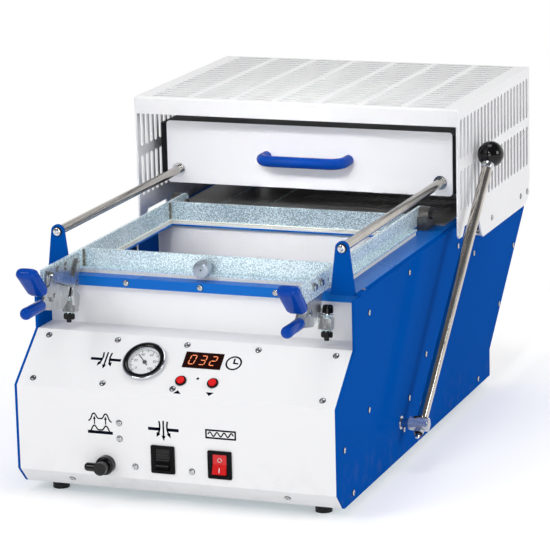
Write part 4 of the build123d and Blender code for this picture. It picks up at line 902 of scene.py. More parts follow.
CREASE_H = 110.0
SLOPE_RUN = 58.0
SLOPE_RISE = 47.0
FRONT = Face(at(0, 0, 0), X_AXIS, Z_AXIS)
SLOPE = Face(at(0, 0, CREASE_H), X_AXIS, Vector((0, SLOPE_RUN, SLOPE_RISE)).normalized())


# --- Marks printed on the panels ---------------------------------------------------------------
class Print:
    """Ink laid on a face as thin raised strokes."""

    THICKNESS = 0.12
    BITE = 0.05
    LAP = 0.35
    HEAD_WIDTH = 0.42
    HEAD_OVERLAP = 0.3

    def __init__(self, face: Face, proud: float = 0.0) -> None:
        """Start a print.

        Args:
            face: The face that it lies on.
            proud: How far its ground stands proud of that face.
        """
        self.face = face
        self.low = proud - self.BITE
        self.high = proud + self.THICKNESS
        self.shape = bmesh.new()

    def patch(self, outline: Sequence[Point2]) -> None:
        """Fill one convex outline.

        Args:
            outline: Its corners on the face.
        """
        low = [self.face.point(u, v, self.low) for u, v in outline]
        high = [self.face.point(u, v, self.high) for u, v in outline]
        loft([low, high], self.shape)

    def line(self, points: Sequence[Point2], width: float) -> None:
        """Draw a stroke.

        Args:
            points: What it runs through.
            width: Its width.
        """
        for start, end in zip(points, points[1:]):
            run = Vector((end[0] - start[0], end[1] - start[1]))
            side = Vector((-run.y, run.x)).normalized() * width / 2
            lap = run.normalized() * width * self.LAP
            a, b = Vector(start) - lap, Vector(end) + lap
            self.patch([tuple(p) for p in (a - side, b - side, b + side, a + side)])

    def curve(self, points: Sequence[Point2], width: float, steps: int = 6) -> None:
        """Draw a smooth stroke.

        Args:
            points: What it runs through.
            width: Its width.
            steps: The number of straight pieces between two points.
        """
        ends = [points[0], *points, points[-1]]
        smooth = []
        for before, start, end, after in zip(ends, ends[1:], ends[2:], ends[3:]):
            for step in range(steps):
                t = step / steps
                smooth.append(tuple(
                    0.5 * (2 * b + (c - a) * t + (2 * a - 5 * b + 4 * c - d) * t * t
                           + (3 * b - a - 3 * c + d) * t ** 3)
                    for a, b, c, d in zip(before, start, end, after)
                ))
        self.line([*smooth, points[-1]], width)

    def ring(self, centre: Point2, radius: float, width: float, steps: int = 36) -> None:
        """Draw a circle.

        Args:
            centre: Its centre.
            radius: Its radius.
            width: The stroke's width.
            steps: The number of its sides.
        """
        angles = [2 * math.pi * step / steps for step in range(steps + 1)]
        points = [(centre[0] + radius * math.cos(a), centre[1] + radius * math.sin(a)) for a in angles]
        self.line(points, width)

    def dot(self, centre: Point2, radius: float, steps: int = 20) -> None:
        """Draw a disc."""
        x, y = centre
        self.patch([(x + radius * math.cos(a), y + radius * math.sin(a)) for a in round_angles(steps)])

    def arrow(self, points: Sequence[Point2], width: float, head: float) -> None:
        """Draw a smooth stroke that ends in an arrow head.

        Args:
            points: What it runs through, up to the tip.
            width: Its width.
            head: The head's length.
        """
        tip = Vector(points[-1])
        heading = (tip - Vector(points[-2])).normalized()
        side = Vector((-heading.y, heading.x)) * head * self.HEAD_WIDTH
        heel = tip - heading * head
        self.curve([*points[:-1], tuple(heel + heading * head * self.HEAD_OVERLAP)], width)
        self.patch([tuple(p) for p in (tip, heel + side, heel - side)])

    def mesh(self) -> bpy.types.Mesh:
        """Return the print's mesh."""
        return mesh_of(self.shape)


def mirrored(half: Sequence[Point2]) -> list[Point2]:
    """Return the right half of an outline with its mirror image before it."""
    return [(-a, b) for a, b in half[::-1]] + list(half[1:])


@dataclass(frozen=True)
class PanelMarks:
    """The generic signs beside the controls."""

    line: float = 1.8
    thin: float = 0.8
    bar: float = 3.3
    head: float = 5.4
    raise_at: Point2 = (-83.0, 63.8)
    raise_bar: Point2 = (13.0, 1.4)
    model: Profile = ((0.0, 4.0), (3.0, 4.6), (5.0, 7.4), (6.5, 8.6), (8.2, 7.4), (10.6, 2.8))
    sheet: Profile = (
        (0.0, 16.4), (2.8, 17.0), (4.8, 20.2), (6.4, 21.6), (8.4, 20.6), (10.6, 15.4), (12.8, 13.4),
    )
    rise: tuple[float, ...] = (10.6, 14.0, 19.2)
    rise_x: float = 6.3
    rise_head: float = 3.8
    vacuum_at: tuple[Point2, Point2] = ((-11.5, 74.0), (-87.6, 40.5))
    opening: Point2 = (6.2, 16.0)
    bend: Profile = ((4.6, 8.2), (4.0, 3.0), (4.9, -2.5), (7.9, -8.9))
    drop: tuple[float, ...] = (8.8, 0.0, -12.2)
    heater_box: tuple[Point2, Point2] = ((36.0, 69.3), (68.3, 77.6))
    heater_waves: float = 3.5
    rise_thin: float = 0.7
    wave_thin: float = 0.75
    wave_steps: int = 56
    wave_inset: float = 2.3
    wave_high: float = 2.1
    clock: Point2 = (54.2, 47.8)
    clock_r: float = 8.0
    clock_hands: Profile = ((0.0, 5.2), (4.4, -0.4))
    lamp: Point2 = (20.8, 25.1)
    lamp_r: float = 1.5
    more: Profile = ((-0.8, 4.4), (7.6, 4.4), (3.4, 8.8))
    less: Profile = ((34.4, 9.0), (38.8, 4.6), (43.2, 9.0))

    def vacuum(self, ink: Print, centre: Point2) -> None:
        """Draw air drawn down through an opening.

        Args:
            ink: The print.
            centre: The middle of the opening.
        """
        x, y = centre
        near, far = self.opening
        for sign in (-1, 1):
            ink.line([(x + sign * far, y), (x + sign * near, y)], self.bar)
            ink.arrow([(x + sign * across, y + up) for across, up in self.bend], self.line, self.head)
        ink.arrow([(x, y + up) for up in self.drop], self.line, self.head)

    def table_raise(self, ink: Print) -> None:
        """Draw a model that is pushed up into the sheet.

        Args:
            ink: The print.
        """
        x, z = self.raise_at
        half, up = self.raise_bar
        ink.line([(x - half, z + up), (x + half, z + up)], self.bar)
        for outline in (self.model, self.sheet):
            ink.curve([(x + a, z + b) for a, b in mirrored(outline)], self.line * self.thin)
        for sign in (-1, 1):
            points = [(x + sign * self.rise_x, z + up) for up in self.rise]
            ink.arrow(points, self.line * self.rise_thin, self.rise_head)

    def heater(self, ink: Print) -> None:
        """Draw an element in its box.

        Args:
            ink: The print.
        """
        (x0, z0), (x1, z1) = self.heater_box
        ink.line([(x0, z0), (x1, z0), (x1, z1), (x0, z1), (x0, z0)], self.line)
        length, middle = x1 - x0 - 2 * self.wave_inset, (z0 + z1) / 2
        wave = []
        for step in range(self.wave_steps + 1):
            share = step / self.wave_steps
            height = self.wave_high * math.sin(2 * math.pi * self.heater_waves * share)
            wave.append((x0 + self.wave_inset + length * share, middle + height))
        ink.line(wave, self.line * self.wave_thin)

    def build(self) -> None:
        """Make the prints of the front and of the sloped face."""
        front, slope = Print(FRONT), Print(SLOPE)
        self.table_raise(front)
        for ink, centre in zip((front, slope), self.vacuum_at):
            self.vacuum(ink, centre)
        self.heater(front)
        slope.ring(self.clock, self.clock_r, self.line)
        for across, up in self.clock_hands:
            slope.line([self.clock, (self.clock[0] + across, self.clock[1] + up)], self.line)
        slope.dot(self.lamp, self.lamp_r)
        slope.patch(self.more)
        slope.patch(self.less)
        for name, ink in (("front_marks", front), ("slope_marks", slope)):
            add_piece(name, ink.mesh(), Finish.INK, "base")


# --- Repeated small parts, by Geometry Nodes -----------------------------------------------------
@dataclass(frozen=True)
class Place:
    """Where one copy stands: its foot, the way it faces, the way its X points, and its scale."""

    point: Vector
    facing: Vector
    across: Vector = X_AXIS
    scale: float = 1.0

    def turn(self) -> Euler:
        """Return the copy's rotation."""
        first, second = basis(self.facing.normalized(), self.across)
        return Matrix((first, second, self.facing.normalized())).transposed().to_euler()


Sizes = dict[str, Signal]
Unit = Callable[[Bench, Sizes], Socket]
SHARP_DEGREES = 32


@dataclass(frozen=True)
class Spread:
    """Lays copies of one small part over places, with a Geometry Nodes tree built for it."""

    name: str
    unit: Unit
    sizes: dict[str, float]
    finish: Finish
    spin: float = 0.0
    seed: int = 7

    def tree(self) -> tuple[bpy.types.NodeTree, dict[str, str]]:
        """Build the tree.

        Returns:
            The tree, and the identifiers of its named inputs.
        """
        tree = bpy.data.node_groups.new(self.name, "GeometryNodeTree")
        bench = Bench(tree)
        tree.interface.new_socket("Geometry", in_out="INPUT", socket_type="NodeSocketGeometry")
        identifiers = {}
        for size in self.sizes:
            socket = tree.interface.new_socket(size, in_out="INPUT", socket_type="NodeSocketFloat")
            identifiers[size] = socket.identifier
        material = tree.interface.new_socket("Finish", in_out="INPUT", socket_type="NodeSocketMaterial")
        identifiers["Finish"] = material.identifier
        tree.interface.new_socket("Geometry", in_out="OUTPUT", socket_type="NodeSocketGeometry")
        entry = bench.add("NodeGroupInput")
        sizes = {size: Signal(bench, entry.outputs[size]) for size in self.sizes}
        turn = bench.add("GeometryNodeInputNamedAttribute", {"data_type": "FLOAT_VECTOR"}, {"Name": "turn"})
        rotation = bench.add("FunctionNodeEulerToRotation", inputs={0: turn.outputs[0]})
        scale = bench.add("GeometryNodeInputNamedAttribute", {"data_type": "FLOAT"}, {"Name": "size"})
        copies = bench.add("GeometryNodeInstanceOnPoints", inputs={
            "Points": entry.outputs["Geometry"],
            "Instance": self.unit(bench, sizes),
            "Rotation": rotation.outputs[0],
            "Scale": scale.outputs[0],
        })
        chance = bench.add("FunctionNodeRandomValue", {"data_type": "FLOAT"}, {"Seed": self.seed})
        angle = Signal(bench, chance.outputs[1]) * self.spin
        about = bench.add("ShaderNodeCombineXYZ", inputs={"Z": angle})
        spun = bench.add("GeometryNodeRotateInstances", inputs={
            "Instances": copies.outputs[0], "Rotation": about.outputs[0],
        })
        solid = bench.add("GeometryNodeRealizeInstances", inputs={0: spun.outputs[0]})
        painted = bench.add("GeometryNodeSetMaterial", inputs={
            "Geometry": solid.outputs[0], "Material": entry.outputs["Finish"],
        })
        bench.add("NodeGroupOutput", inputs={0: painted.outputs[0]})
        return tree, identifiers

    def mesh(self, places: Sequence[Place]) -> bpy.types.Mesh:
        """Make the copies.

        Args:
            places: Where they stand.

        Returns:
            One plain mesh with all of them.
        """
        seeds = bpy.data.meshes.new(self.name + "_places")
        seeds.from_pydata([tuple(place.point) for place in places], [], [])
        turns = seeds.attributes.new("turn", "FLOAT_VECTOR", "POINT")
        turns.data.foreach_set("vector", [angle for place in places for angle in place.turn()])
        scales = seeds.attributes.new("size", "FLOAT", "POINT")
        scales.data.foreach_set("value", [place.scale for place in places])
        carrier = bpy.data.objects.new(self.name + "_places", seeds)
        bpy.context.scene.collection.objects.link(carrier)
        modifier = carrier.modifiers.new("spread", "NODES")
        tree, identifiers = self.tree()
        modifier.node_group = tree
        for size, value in self.sizes.items():
            modifier[identifiers[size]] = value
        modifier[identifiers["Finish"]] = self.finish.material()
        bpy.context.view_layer.update()
        evaluated = carrier.evaluated_get(bpy.context.evaluated_depsgraph_get())
        mesh = bpy.data.meshes.new_from_object(evaluated)
        carrier.modifiers.remove(modifier)
        bpy.data.objects.remove(carrier)
        mesh.shade_smooth()
        mesh.set_sharp_from_angle(angle=math.radians(SHARP_DEGREES))
        return mesh

    def lay(
        self, places: Sequence[Place], body: str, nodes: Sequence[str] = ()
    ) -> bpy.types.Object:
        """Make the copies a piece of a body."""
        return add_piece(self.name, self.mesh(places), self.finish, body, nodes)


def moved(bench: Bench, geometry: Socket, lift: Number, stretch: Sequence[float] = (1, 1, 1)) -> Socket:
    """Stretch a unit's geometry, then lift it along its facing.

    Args:
        bench: The tree.
        geometry: What is moved.
        lift: How far.
        stretch: The scale along each axis.

    Returns:
        The moved geometry.
    """
    offset = bench.add("ShaderNodeCombineXYZ", inputs={"Z": lift})
    inputs = {"Geometry": geometry, "Translation": offset.outputs[0], "Scale": stretch}
    return bench.add("GeometryNodeTransform", inputs=inputs).outputs[0]


def joined(bench: Bench, operation: str, first: Socket, others: Sequence[Socket]) -> Socket:
    """Unite or cut solids of a unit.

    Args:
        bench: The tree.
        operation: UNION or DIFFERENCE.
        first: The solid that is kept.
        others: The solids that are added or cut away.

    Returns:
        The result.
    """
    node = bench.add("GeometryNodeMeshBoolean", {"operation": operation, "solver": "EXACT"})
    if operation == "DIFFERENCE":
        bench.tree.links.new(first, node.inputs["Mesh 1"])
    for mesh in others if operation == "DIFFERENCE" else (first, *others):
        bench.tree.links.new(mesh, node.inputs["Mesh 2"])
    return node.outputs[0]


def cylinder(bench: Bench, radius: Number, depth: Number, sides: int) -> Socket:
    """Return an upright cylinder about the unit's origin."""
    inputs = {"Vertices": sides, "Radius": radius, "Depth": depth}
    return bench.add("GeometryNodeMeshCylinder", inputs=inputs).outputs[0]


def block(bench: Bench, x: Number, y: Number, z: Number) -> Socket:
    """Return a block about the unit's origin."""
    size = bench.add("ShaderNodeCombineXYZ", inputs={"X": x, "Y": y, "Z": z})
    return bench.add("GeometryNodeMeshCube", inputs={"Size": size.outputs[0]}).outputs[0]


def sphere(bench: Bench, radius: Number, sides: int) -> Socket:
    """Return a ball about the unit's origin."""
    inputs = {"Segments": sides, "Rings": sides // 2, "Radius": radius}
    return bench.add("GeometryNodeMeshUVSphere", inputs=inputs).outputs[0]


HEAD_SIDES, HEX_SIDES, STUD_SIDES, WASHER_SIDES = 28, 6, 20, 24
BORE = 0.52


def pan_head(bench: Bench, sizes: Sizes) -> Socket:
    """Make a domed screw head with a cross recess.

    Args:
        bench: The tree.
        sizes: The head's radius and height, and the recess's width.

    Returns:
        The geometry.
    """
    radius, height, recess = sizes["Head Radius"], sizes["Head Height"], sizes["Recess Width"]
    rim_share, dome_share, dome_flat = 0.6, 0.97, 0.24
    rim = moved(bench, cylinder(bench, radius, height * rim_share, HEAD_SIDES), height * (rim_share / 2))
    dome = moved(bench, sphere(bench, radius * dome_share, HEAD_SIDES), height * 0.5, (1, 1, dome_flat))
    head = joined(bench, "UNION", rim, [dome])
    long, deep, lift = radius * 1.15, height * 1.1, height * 1.15
    bars = (block(bench, long, recess, deep), block(bench, recess, long, deep))
    return joined(bench, "DIFFERENCE", head, [moved(bench, bar, lift) for bar in bars])


def rivet(bench: Bench, sizes: Sizes) -> Socket:
    """Make a low round rivet head."""
    flat = 0.42
    return moved(bench, sphere(bench, sizes["Radius"], STUD_SIDES), 0.0, (1, 1, flat))


def washer(bench: Bench, sizes: Sizes) -> Socket:
    """Make a flat disc, covered in the middle; under the casing screws it is a dark ring of painted shadow.
    """
    radius, height = sizes["Radius"], sizes["Height"]
    return moved(bench, cylinder(bench, radius, height, WASHER_SIDES), height * 0.5)


def hex_nut(bench: Bench, sizes: Sizes) -> Socket:
    """Make a nut on its washer, with the end of its stud.

    Args:
        bench: The tree.
        sizes: The nut's radius over its corners, and its height.

    Returns:
        The geometry.
    """
    radius, height = sizes["Radius"], sizes["Height"]
    brim, thin, tall, middle, proud = 1.28, 0.22, 0.8, 0.6, 1.5
    under = moved(bench, cylinder(bench, radius * brim, height * thin, HEAD_SIDES), height * (thin / 2))
    nut = moved(bench, cylinder(bench, radius, height * tall, HEX_SIDES), height * middle)
    stud = moved(bench, cylinder(bench, radius * BORE, height * proud, STUD_SIDES), height * (proud / 2))
    join = bench.add("GeometryNodeJoinGeometry")
    for part in (under, nut, stud):
        bench.tree.links.new(part, join.inputs[0])
    return join.outputs[0]


def socket_head(bench: Bench, sizes: Sizes) -> Socket:
    """Make a cylinder head with a hexagon socket.

    Args:
        bench: The tree.
        sizes: The head's radius and height.

    Returns:
        The geometry.
    """
    radius, height = sizes["Radius"], sizes["Height"]
    head = moved(bench, cylinder(bench, radius, height, HEAD_SIDES), height * 0.5)
    socket = moved(bench, cylinder(bench, radius * BORE, height, HEX_SIDES), height)
    return joined(bench, "DIFFERENCE", head, [socket])


def tick(bench: Bench, sizes: Sizes) -> Socket:
    """Make a thin block, for a tick, a seam, a pin or a rib of the knurl."""
    return block(bench, sizes["Length"], sizes["Width"], sizes["Height"])


def ridge(bench: Bench, sizes: Sizes) -> Socket:
    """Make a round ridge along the unit's X.

    Args:
        bench: The tree.
        sizes: The ridge's radius and length.

    Returns:
        The geometry.
    """
    rod = cylinder(bench, sizes["Radius"], sizes["Length"], STUD_SIDES)
    turn = bench.add("GeometryNodeTransform", inputs={"Geometry": rod, "Rotation": (0, math.pi / 2, 0)})
    return turn.outputs[0]


def ripple(bench: Bench, sizes: Sizes) -> Socket:
    """Make one ripple of a weld bead.

    Args:
        bench: The tree.
        sizes: The ripple's radius.

    Returns:
        The geometry.
    """
    drop = bench.add("GeometryNodeMeshIcoSphere", inputs={"Radius": sizes["Radius"], "Subdivisions": 3})
    narrow, flat = 0.62, 0.55
    return moved(bench, drop.outputs[0], 0.0, (1, narrow, flat))


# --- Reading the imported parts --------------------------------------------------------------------
SAME_POINT = 1e-6
SIDEWAYS = 0.5
SAME_WAY = 0.999
LEVEL_SLACK = 0.02 * MM


def separate(shape: Shape) -> list[list[bmesh.types.BMFace]]:
    """Split a bmesh into its loose parts.

    Args:
        shape: The bmesh.

    Returns:
        The faces of each part, in the same order at each run.
    """
    shape.faces.index_update()
    seen = [False] * len(shape.faces)
    parts = []
    for first in shape.faces:
        if seen[first.index]:
            continue
        seen[first.index] = True
        part = [first]
        for face in part:
            for other in [beyond for edge in face.edges for beyond in edge.link_faces]:
                if not seen[other.index]:
                    seen[other.index] = True
                    part.append(other)
        parts.append(part)
    return parts


def islands(node: str) -> list[Place]:
    """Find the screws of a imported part.

    Args:
        node: A part that holds only screws.

    Returns:
        For each screw, the middle of its head's face, the way it faces, and the head's radius as its scale.
    """
    shape = bmesh.new()
    shape.from_mesh(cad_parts[node].data)
    bmesh.ops.remove_doubles(shape, verts=shape.verts, dist=SAME_POINT)
    found = []
    for group in separate(shape):
        total, top, facing = 0.0, [], Z_AXIS
        for key in dict.fromkeys(tuple(round(c, 2) for c in face.normal) for face in group):
            way = Vector(key).normalized()
            level = max(f.calc_center_median().dot(way) for f in group) - LEVEL_SLACK
            flat = [f for f in group if f.normal.dot(way) > SAME_WAY]
            end = [f for f in flat if f.calc_center_median().dot(way) > level]
            area = sum(f.calc_area() for f in end)
            if area > total:
                total, top, facing = area, end, way
        middle = sum((f.calc_center_median() * f.calc_area() for f in top), Vector()) / total
        across = Y_AXIS if abs(facing.x) > SIDEWAYS else X_AXIS
        found.append(Place(middle, facing, across, math.sqrt(total / math.pi)))
    shape.free()
    return found


def touch(node: str, start: Vector, heading: Vector) -> tuple[Vector, Vector]:
    """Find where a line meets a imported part.

    Args:
        node: The part.
        start: Where the line starts.
        heading: The line's direction.

    Returns:
        The point, and the surface's normal towards the start.

    Raises:
        ValueError: The line misses the part.
    """
    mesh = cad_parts[node].data
    tree = BVHTree.FromPolygons([v.co for v in mesh.vertices], [tuple(p.vertices) for p in mesh.polygons])
    point, normal, _, _ = tree.ray_cast(start, heading)
    if point is None:
        raise ValueError(f"no surface of {node} in that direction")
    return point, normal if normal.dot(heading) < 0 else -normal


# --- Sub-assemblies ------------------------------------------------------------------------------
ROD_X, ROD_Z = 160.0, 258.5


def rod_spots(depth: float) -> list[Vector]:
    """Return where both guide rods cross a plane at a depth in metres, left first."""
    return [Vector((at(sign * ROD_X, 0, 0).x, depth, at(0, 0, ROD_Z).z)) for sign in (-1, 1)]


def bevelled(inner: float, outer: float, heights: Point3, bevel: float) -> Profile:
    """Draw the section of a ring with a bevelled outer edge.

    Args:
        inner: The radius of the ring's hole.
        outer: Its outer radius.
        heights: Where the ring starts, where its bevel starts and where it ends.
        bevel: How far in the bevel goes.

    Returns:
        The closed section, for turned().
    """
    low, shoulder, top = heights
    return ((low, inner), (low, outer), (shoulder, outer), (top, outer - bevel), (top, inner))


def facing_rings(spots: Sequence[Vector], profile: Profile) -> bpy.types.Mesh:
    """Make open rings that face the front.

    Args:
        spots: Their centres.
        profile: Their closed profile.

    Returns:
        One mesh with all of them.
    """
    shape = bmesh.new()
    for spot in spots:
        turned(spot, -Y_AXIS, profile, steps=36, shape=shape, hollow=True)
    return mesh_of(shape)


@dataclass(frozen=True)
class Casing:
    """Screws of the casing and pins of the mains inlet."""

    head_r: float = 3.6
    head_h: float = 1.8
    recess: float = 1.05
    head_scale: float = 0.84
    shadow_rim: float = 0.4
    shadow_h: float = 0.35
    pins: Profile = ((-6.0, -2.0), (0.0, 3.0), (6.0, -2.0))
    pin_depth: float = 9.0

    def screws(self) -> None:
        """Put a real head in place of each casing screw, on a dark ring that is painted contact shadow, not
        a washer.
        """
        depth = self.head_h * MM
        found = [(s, s.point - s.facing * depth) for s in islands("case_screws")]
        # The dark rings are painted shadow: they stand for the contact shadow round the foot of each screw
        # head.
        rims = [Place(foot, s.facing, s.across) for s, foot in found]
        sizes = mm(radius=self.head_r * self.head_scale + self.shadow_rim, height=self.shadow_h)
        Spread("screw_washers", washer, sizes, Finish.BLACK_METAL).lay(rims, "base")
        share = self.head_scale / (self.head_r * MM)
        heads = [Place(foot, s.facing, s.across, share * s.scale) for s, foot in found]
        sizes = mm(head_radius=self.head_r, head_height=self.head_h, recess_width=self.recess)
        kit = Spread("screw_heads", pan_head, sizes, Finish.STEEL, spin=math.pi)
        kit.lay(heads, "base", ("case_screws",))

    def inlet(self) -> None:
        """Stand the pins in the mains inlet."""
        low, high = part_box("power_inlet")
        middle = (low + high) / 2
        y = high.y - self.pin_depth * MM
        pins = [Place(Vector((middle.x + dx * MM, y, middle.z + dz * MM)), Y_AXIS) for dx, dz in self.pins]
        sizes = mm(length=2.0, width=4.0, height=9.0)
        Spread("inlet_pins", tick, sizes, Finish.STEEL).lay(pins, "base")

    def build(self) -> None:
        """Make the screws and the pins."""
        self.screws()
        self.inlet()


@dataclass(frozen=True)
class Uprights:
    """The big screws that hold the guide rods in their brackets."""

    head_r: float = 4.2
    head_h: float = 2.6
    recess: float = 1.3
    sunk: float = 0.6
    ring_r: float = 5.2
    ring_lap: float = 1.0
    ring_heights: Point3 = (-0.2, 0.7, 0.9)
    ring_bevel: float = 0.4
    ear: Point3 = (177.0, 97.0, 212.0)
    ear_scale: float = 0.5

    def build(self) -> None:
        """Make both front screws, their dark rings and the small screws of the feet."""
        spots = rod_spots(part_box("rod_brackets")[0].y)
        profile = bevelled(self.head_r - self.ring_lap, self.ring_r, self.ring_heights, self.ring_bevel)
        add_piece("rod_screw_rings", facing_rings(spots, profile), Finish.BLACK_METAL, "base")
        places = [Place(spot - Y_AXIS * self.sunk * MM, -Y_AXIS) for spot in spots]
        sizes = mm(head_radius=self.head_r, head_height=self.head_h, recess_width=self.recess)
        Spread("rod_screws", pan_head, sizes, Finish.CHROME, spin=1.0).lay(places, "base")
        x, y, z = self.ear
        ears = [Place(at(sign * x, y, z), Z_AXIS, scale=self.ear_scale) for sign in (-1, 1)]
        Spread("ear_screws", pan_head, sizes, Finish.STEEL, spin=1.0).lay(ears, "base")


@dataclass(frozen=True)
class Gauge:
    """The vacuum gauge's print, ring and hub."""

    centre: Point2 = (-43.0, 40.0)
    dial_z: float = 0.8
    sweep: float = 270.0
    tick_r: float = 16.5
    long_tick: Point2 = (3.2, 0.6)
    short_tick: Point2 = (1.7, 0.34)
    divisions: int = 10
    minor: int = 5
    number_r: float = 10.8
    number_size: float = 4.2
    number_step: int = 2
    number_value: int = 10
    number_lift: float = 0.08
    number_high: float = 0.04
    tick_lift: float = 0.06
    tick_high: float = 0.1
    ring: Profile = (
        (4.05, 17.3), (5.3, 18.5), (5.65, 20.2), (5.5, 21.4), (4.9, 21.9), (4.9, 18.1), (4.05, 17.7),
    )
    hub: Profile = ((0.4, 0.6), (0.4, 2.3), (1.1, 2.2), (1.5, 1.4), (1.6, 0.5))

    def direction(self, share: float) -> Vector:
        """Return the way from the centre to a share of the scale."""
        angle = math.radians(90 + self.sweep / 2 - self.sweep * share)
        return SLOPE.across * math.cos(angle) + SLOPE.up * math.sin(angle)

    def ticks(self, name: str, size: Point2, whole: bool) -> None:
        """Print one kind of tick.

        Args:
            name: The piece's name.
            size: The tick's length and width.
            whole: Whether the ticks stand on whole divisions, or between them.
        """
        centre = SLOPE.point(*self.centre, self.dial_z + self.tick_lift)
        count = self.divisions * self.minor
        length, width = size
        places = []
        for index in range(count + 1):
            if (index % self.minor == 0) == whole:
                way = self.direction(index / count)
                places.append(Place(centre + way * (self.tick_r - length / 2) * MM, SLOPE.out, way))
        sizes = mm(length=length, width=width, height=self.tick_high)
        Spread(name, tick, sizes, Finish.INK).lay(places, "base")

    def numbers(self) -> None:
        """Print plain numbers round the dial."""
        shape = bmesh.new()
        turn = Matrix((SLOPE.across, SLOPE.up, SLOPE.out)).transposed().to_4x4()
        for index in range(0, self.divisions + 1, self.number_step):
            text = bpy.data.curves.new("number", "FONT")
            text.body = str(index * self.number_value)
            text.size = self.number_size * MM
            text.align_x, text.align_y = "CENTER", "CENTER"
            text.extrude = self.number_high * MM
            lettering = bpy.data.objects.new("number", text)
            mesh = bpy.data.meshes.new_from_object(lettering)
            spot = SLOPE.point(*self.centre, self.dial_z + self.number_lift)
            spot += self.direction(index / self.divisions) * self.number_r * MM
            mesh.transform(Matrix.Translation(spot) @ turn)
            shape.from_mesh(mesh)
            bpy.data.objects.remove(lettering)
        mesh = bpy.data.meshes.new("numbers")
        shape.to_mesh(mesh)
        shape.free()
        add_piece("gauge_numbers", mesh, Finish.INK, "base")

    def build(self) -> None:
        """Make the scale, the dark inner ring and the hub of the hand."""
        self.ticks("gauge_long_ticks", self.long_tick, True)
        self.ticks("gauge_short_ticks", self.short_tick, False)
        self.numbers()
        ring = turned(SLOPE.point(*self.centre), SLOPE.out, self.ring, steps=64, hollow=True)
        add_piece("gauge_inner_ring", mesh_of(ring), Finish.BLACK_GLOSS, "base")
        hub = turned(SLOPE.point(*self.centre, self.dial_z), SLOPE.out, self.hub, steps=28)
        add_piece("gauge_hub", mesh_of(hub), Finish.BLACK_MATT, "gauge_hand")


class Segment(Enum):
    """The bars of a digit, as ends in a cell one wide and two high."""

    TOP = ((0, 2), (1, 2))
    UPPER_LEFT = ((0, 1), (0, 2))
    UPPER_RIGHT = ((1, 1), (1, 2))
    MIDDLE = ((0, 1), (1, 1))
    LOWER_LEFT = ((0, 0), (0, 1))
    LOWER_RIGHT = ((1, 0), (1, 1))
    BOTTOM = ((0, 0), (1, 0))


@dataclass(frozen=True)
class TimerDisplay:
    """Three lit digits in the timer's window."""

    centre: Point2 = (20.2, 48.0)
    proud: float = 0.85
    width: float = 6.0
    half_height: float = 5.6
    pitch: float = 11.6
    slant: float = 0.16
    line: float = 0.8
    gap: float = 0.95

    def digits(self) -> tuple[tuple[Segment, ...], ...]:
        """Say which bars are lit.

        Returns:
            The bars of 0, 3 and 2.
        """
        s = Segment
        zero = (s.TOP, s.UPPER_LEFT, s.UPPER_RIGHT, s.LOWER_LEFT, s.LOWER_RIGHT, s.BOTTOM)
        three = (s.TOP, s.UPPER_RIGHT, s.MIDDLE, s.LOWER_RIGHT, s.BOTTOM)
        two = (s.TOP, s.UPPER_RIGHT, s.MIDDLE, s.LOWER_LEFT, s.BOTTOM)
        return zero, three, two

    def bar(self, ink: Print, segment: Segment, middle: float) -> None:
        """Draw one bar.

        Args:
            ink: The print.
            segment: The bar.
            middle: The middle of its digit.
        """
        ends = []
        for column, row in segment.value:
            v = (row - 1) * self.half_height
            ends.append(Vector((middle + (column - 0.5) * self.width + v * self.slant, self.centre[1] + v)))
        start, end = ends
        gap = (end - start).normalized() * self.gap
        ink.line([tuple(start + gap), tuple(end - gap)], self.line)

    def build(self) -> None:
        """Make the digits."""
        ink = Print(SLOPE, self.proud)
        for index, digit in enumerate(self.digits()):
            for segment in digit:
                self.bar(ink, segment, self.centre[0] + (index - 1) * self.pitch)
        add_piece("timer_digits", ink.mesh(), Finish.AMBER_SEGMENT, "base")


@dataclass(frozen=True)
class Switches:
    """Signs on the heater rocker, and the ribs of the vacuum rocker."""

    heater_x: float = 50.6
    vacuum_x: float = -12.8
    middle_z: float = 41.0
    start_y: float = -40.0
    reach: float = 5.2
    off_ring: Point2 = (2.1, 0.7)
    on_bar: Point2 = (2.2, 0.8)
    rib_pitch: float = 5.6
    rib_l: float = 14.0
    rib_r: float = 1.15

    def face(self, node: str, x: float, z: float) -> Face:
        """Find the face of a rocker under a place of the front.

        Args:
            node: The rocker.
            x: The place's millimetres right of the mid-plane.
            z: Its millimetres above the underside.

        Returns:
            The face, with its origin there.
        """
        point, normal = touch(node, at(x, self.start_y, z), Y_AXIS)
        return Face(point, X_AXIS, normal.cross(X_AXIS).normalized())

    def build(self) -> None:
        """Print off and on, and add the bright edges of the black rocker."""
        off = Print(self.face("heater_rocker", self.heater_x, self.middle_z + self.reach))
        off.ring((0, 0), *self.off_ring, steps=24)
        on = Print(self.face("heater_rocker", self.heater_x, self.middle_z - self.reach))
        half, width = self.on_bar
        on.line([(0, -half), (0, half)], width)
        signs = bmesh.new()
        for ink in (off, on):
            signs.from_mesh(ink.mesh())
        mesh = bpy.data.meshes.new("signs")
        signs.to_mesh(mesh)
        signs.free()
        add_piece("heater_switch_signs", mesh, Finish.DIAL, "heater_switch")
        rows = [self.middle_z + row * self.rib_pitch for row in (-1, 0, 1)]
        spots = [self.face("vacuum_rocker", self.vacuum_x, z) for z in rows]
        ribs = [Place(spot.origin, spot.out) for spot in spots]
        sizes = mm(length=self.rib_l, radius=self.rib_r)
        kit = Spread("vacuum_switch_ribs", ridge, sizes, Finish.BLACK_GLOSS)
        kit.lay(ribs, "vacuum_switch")


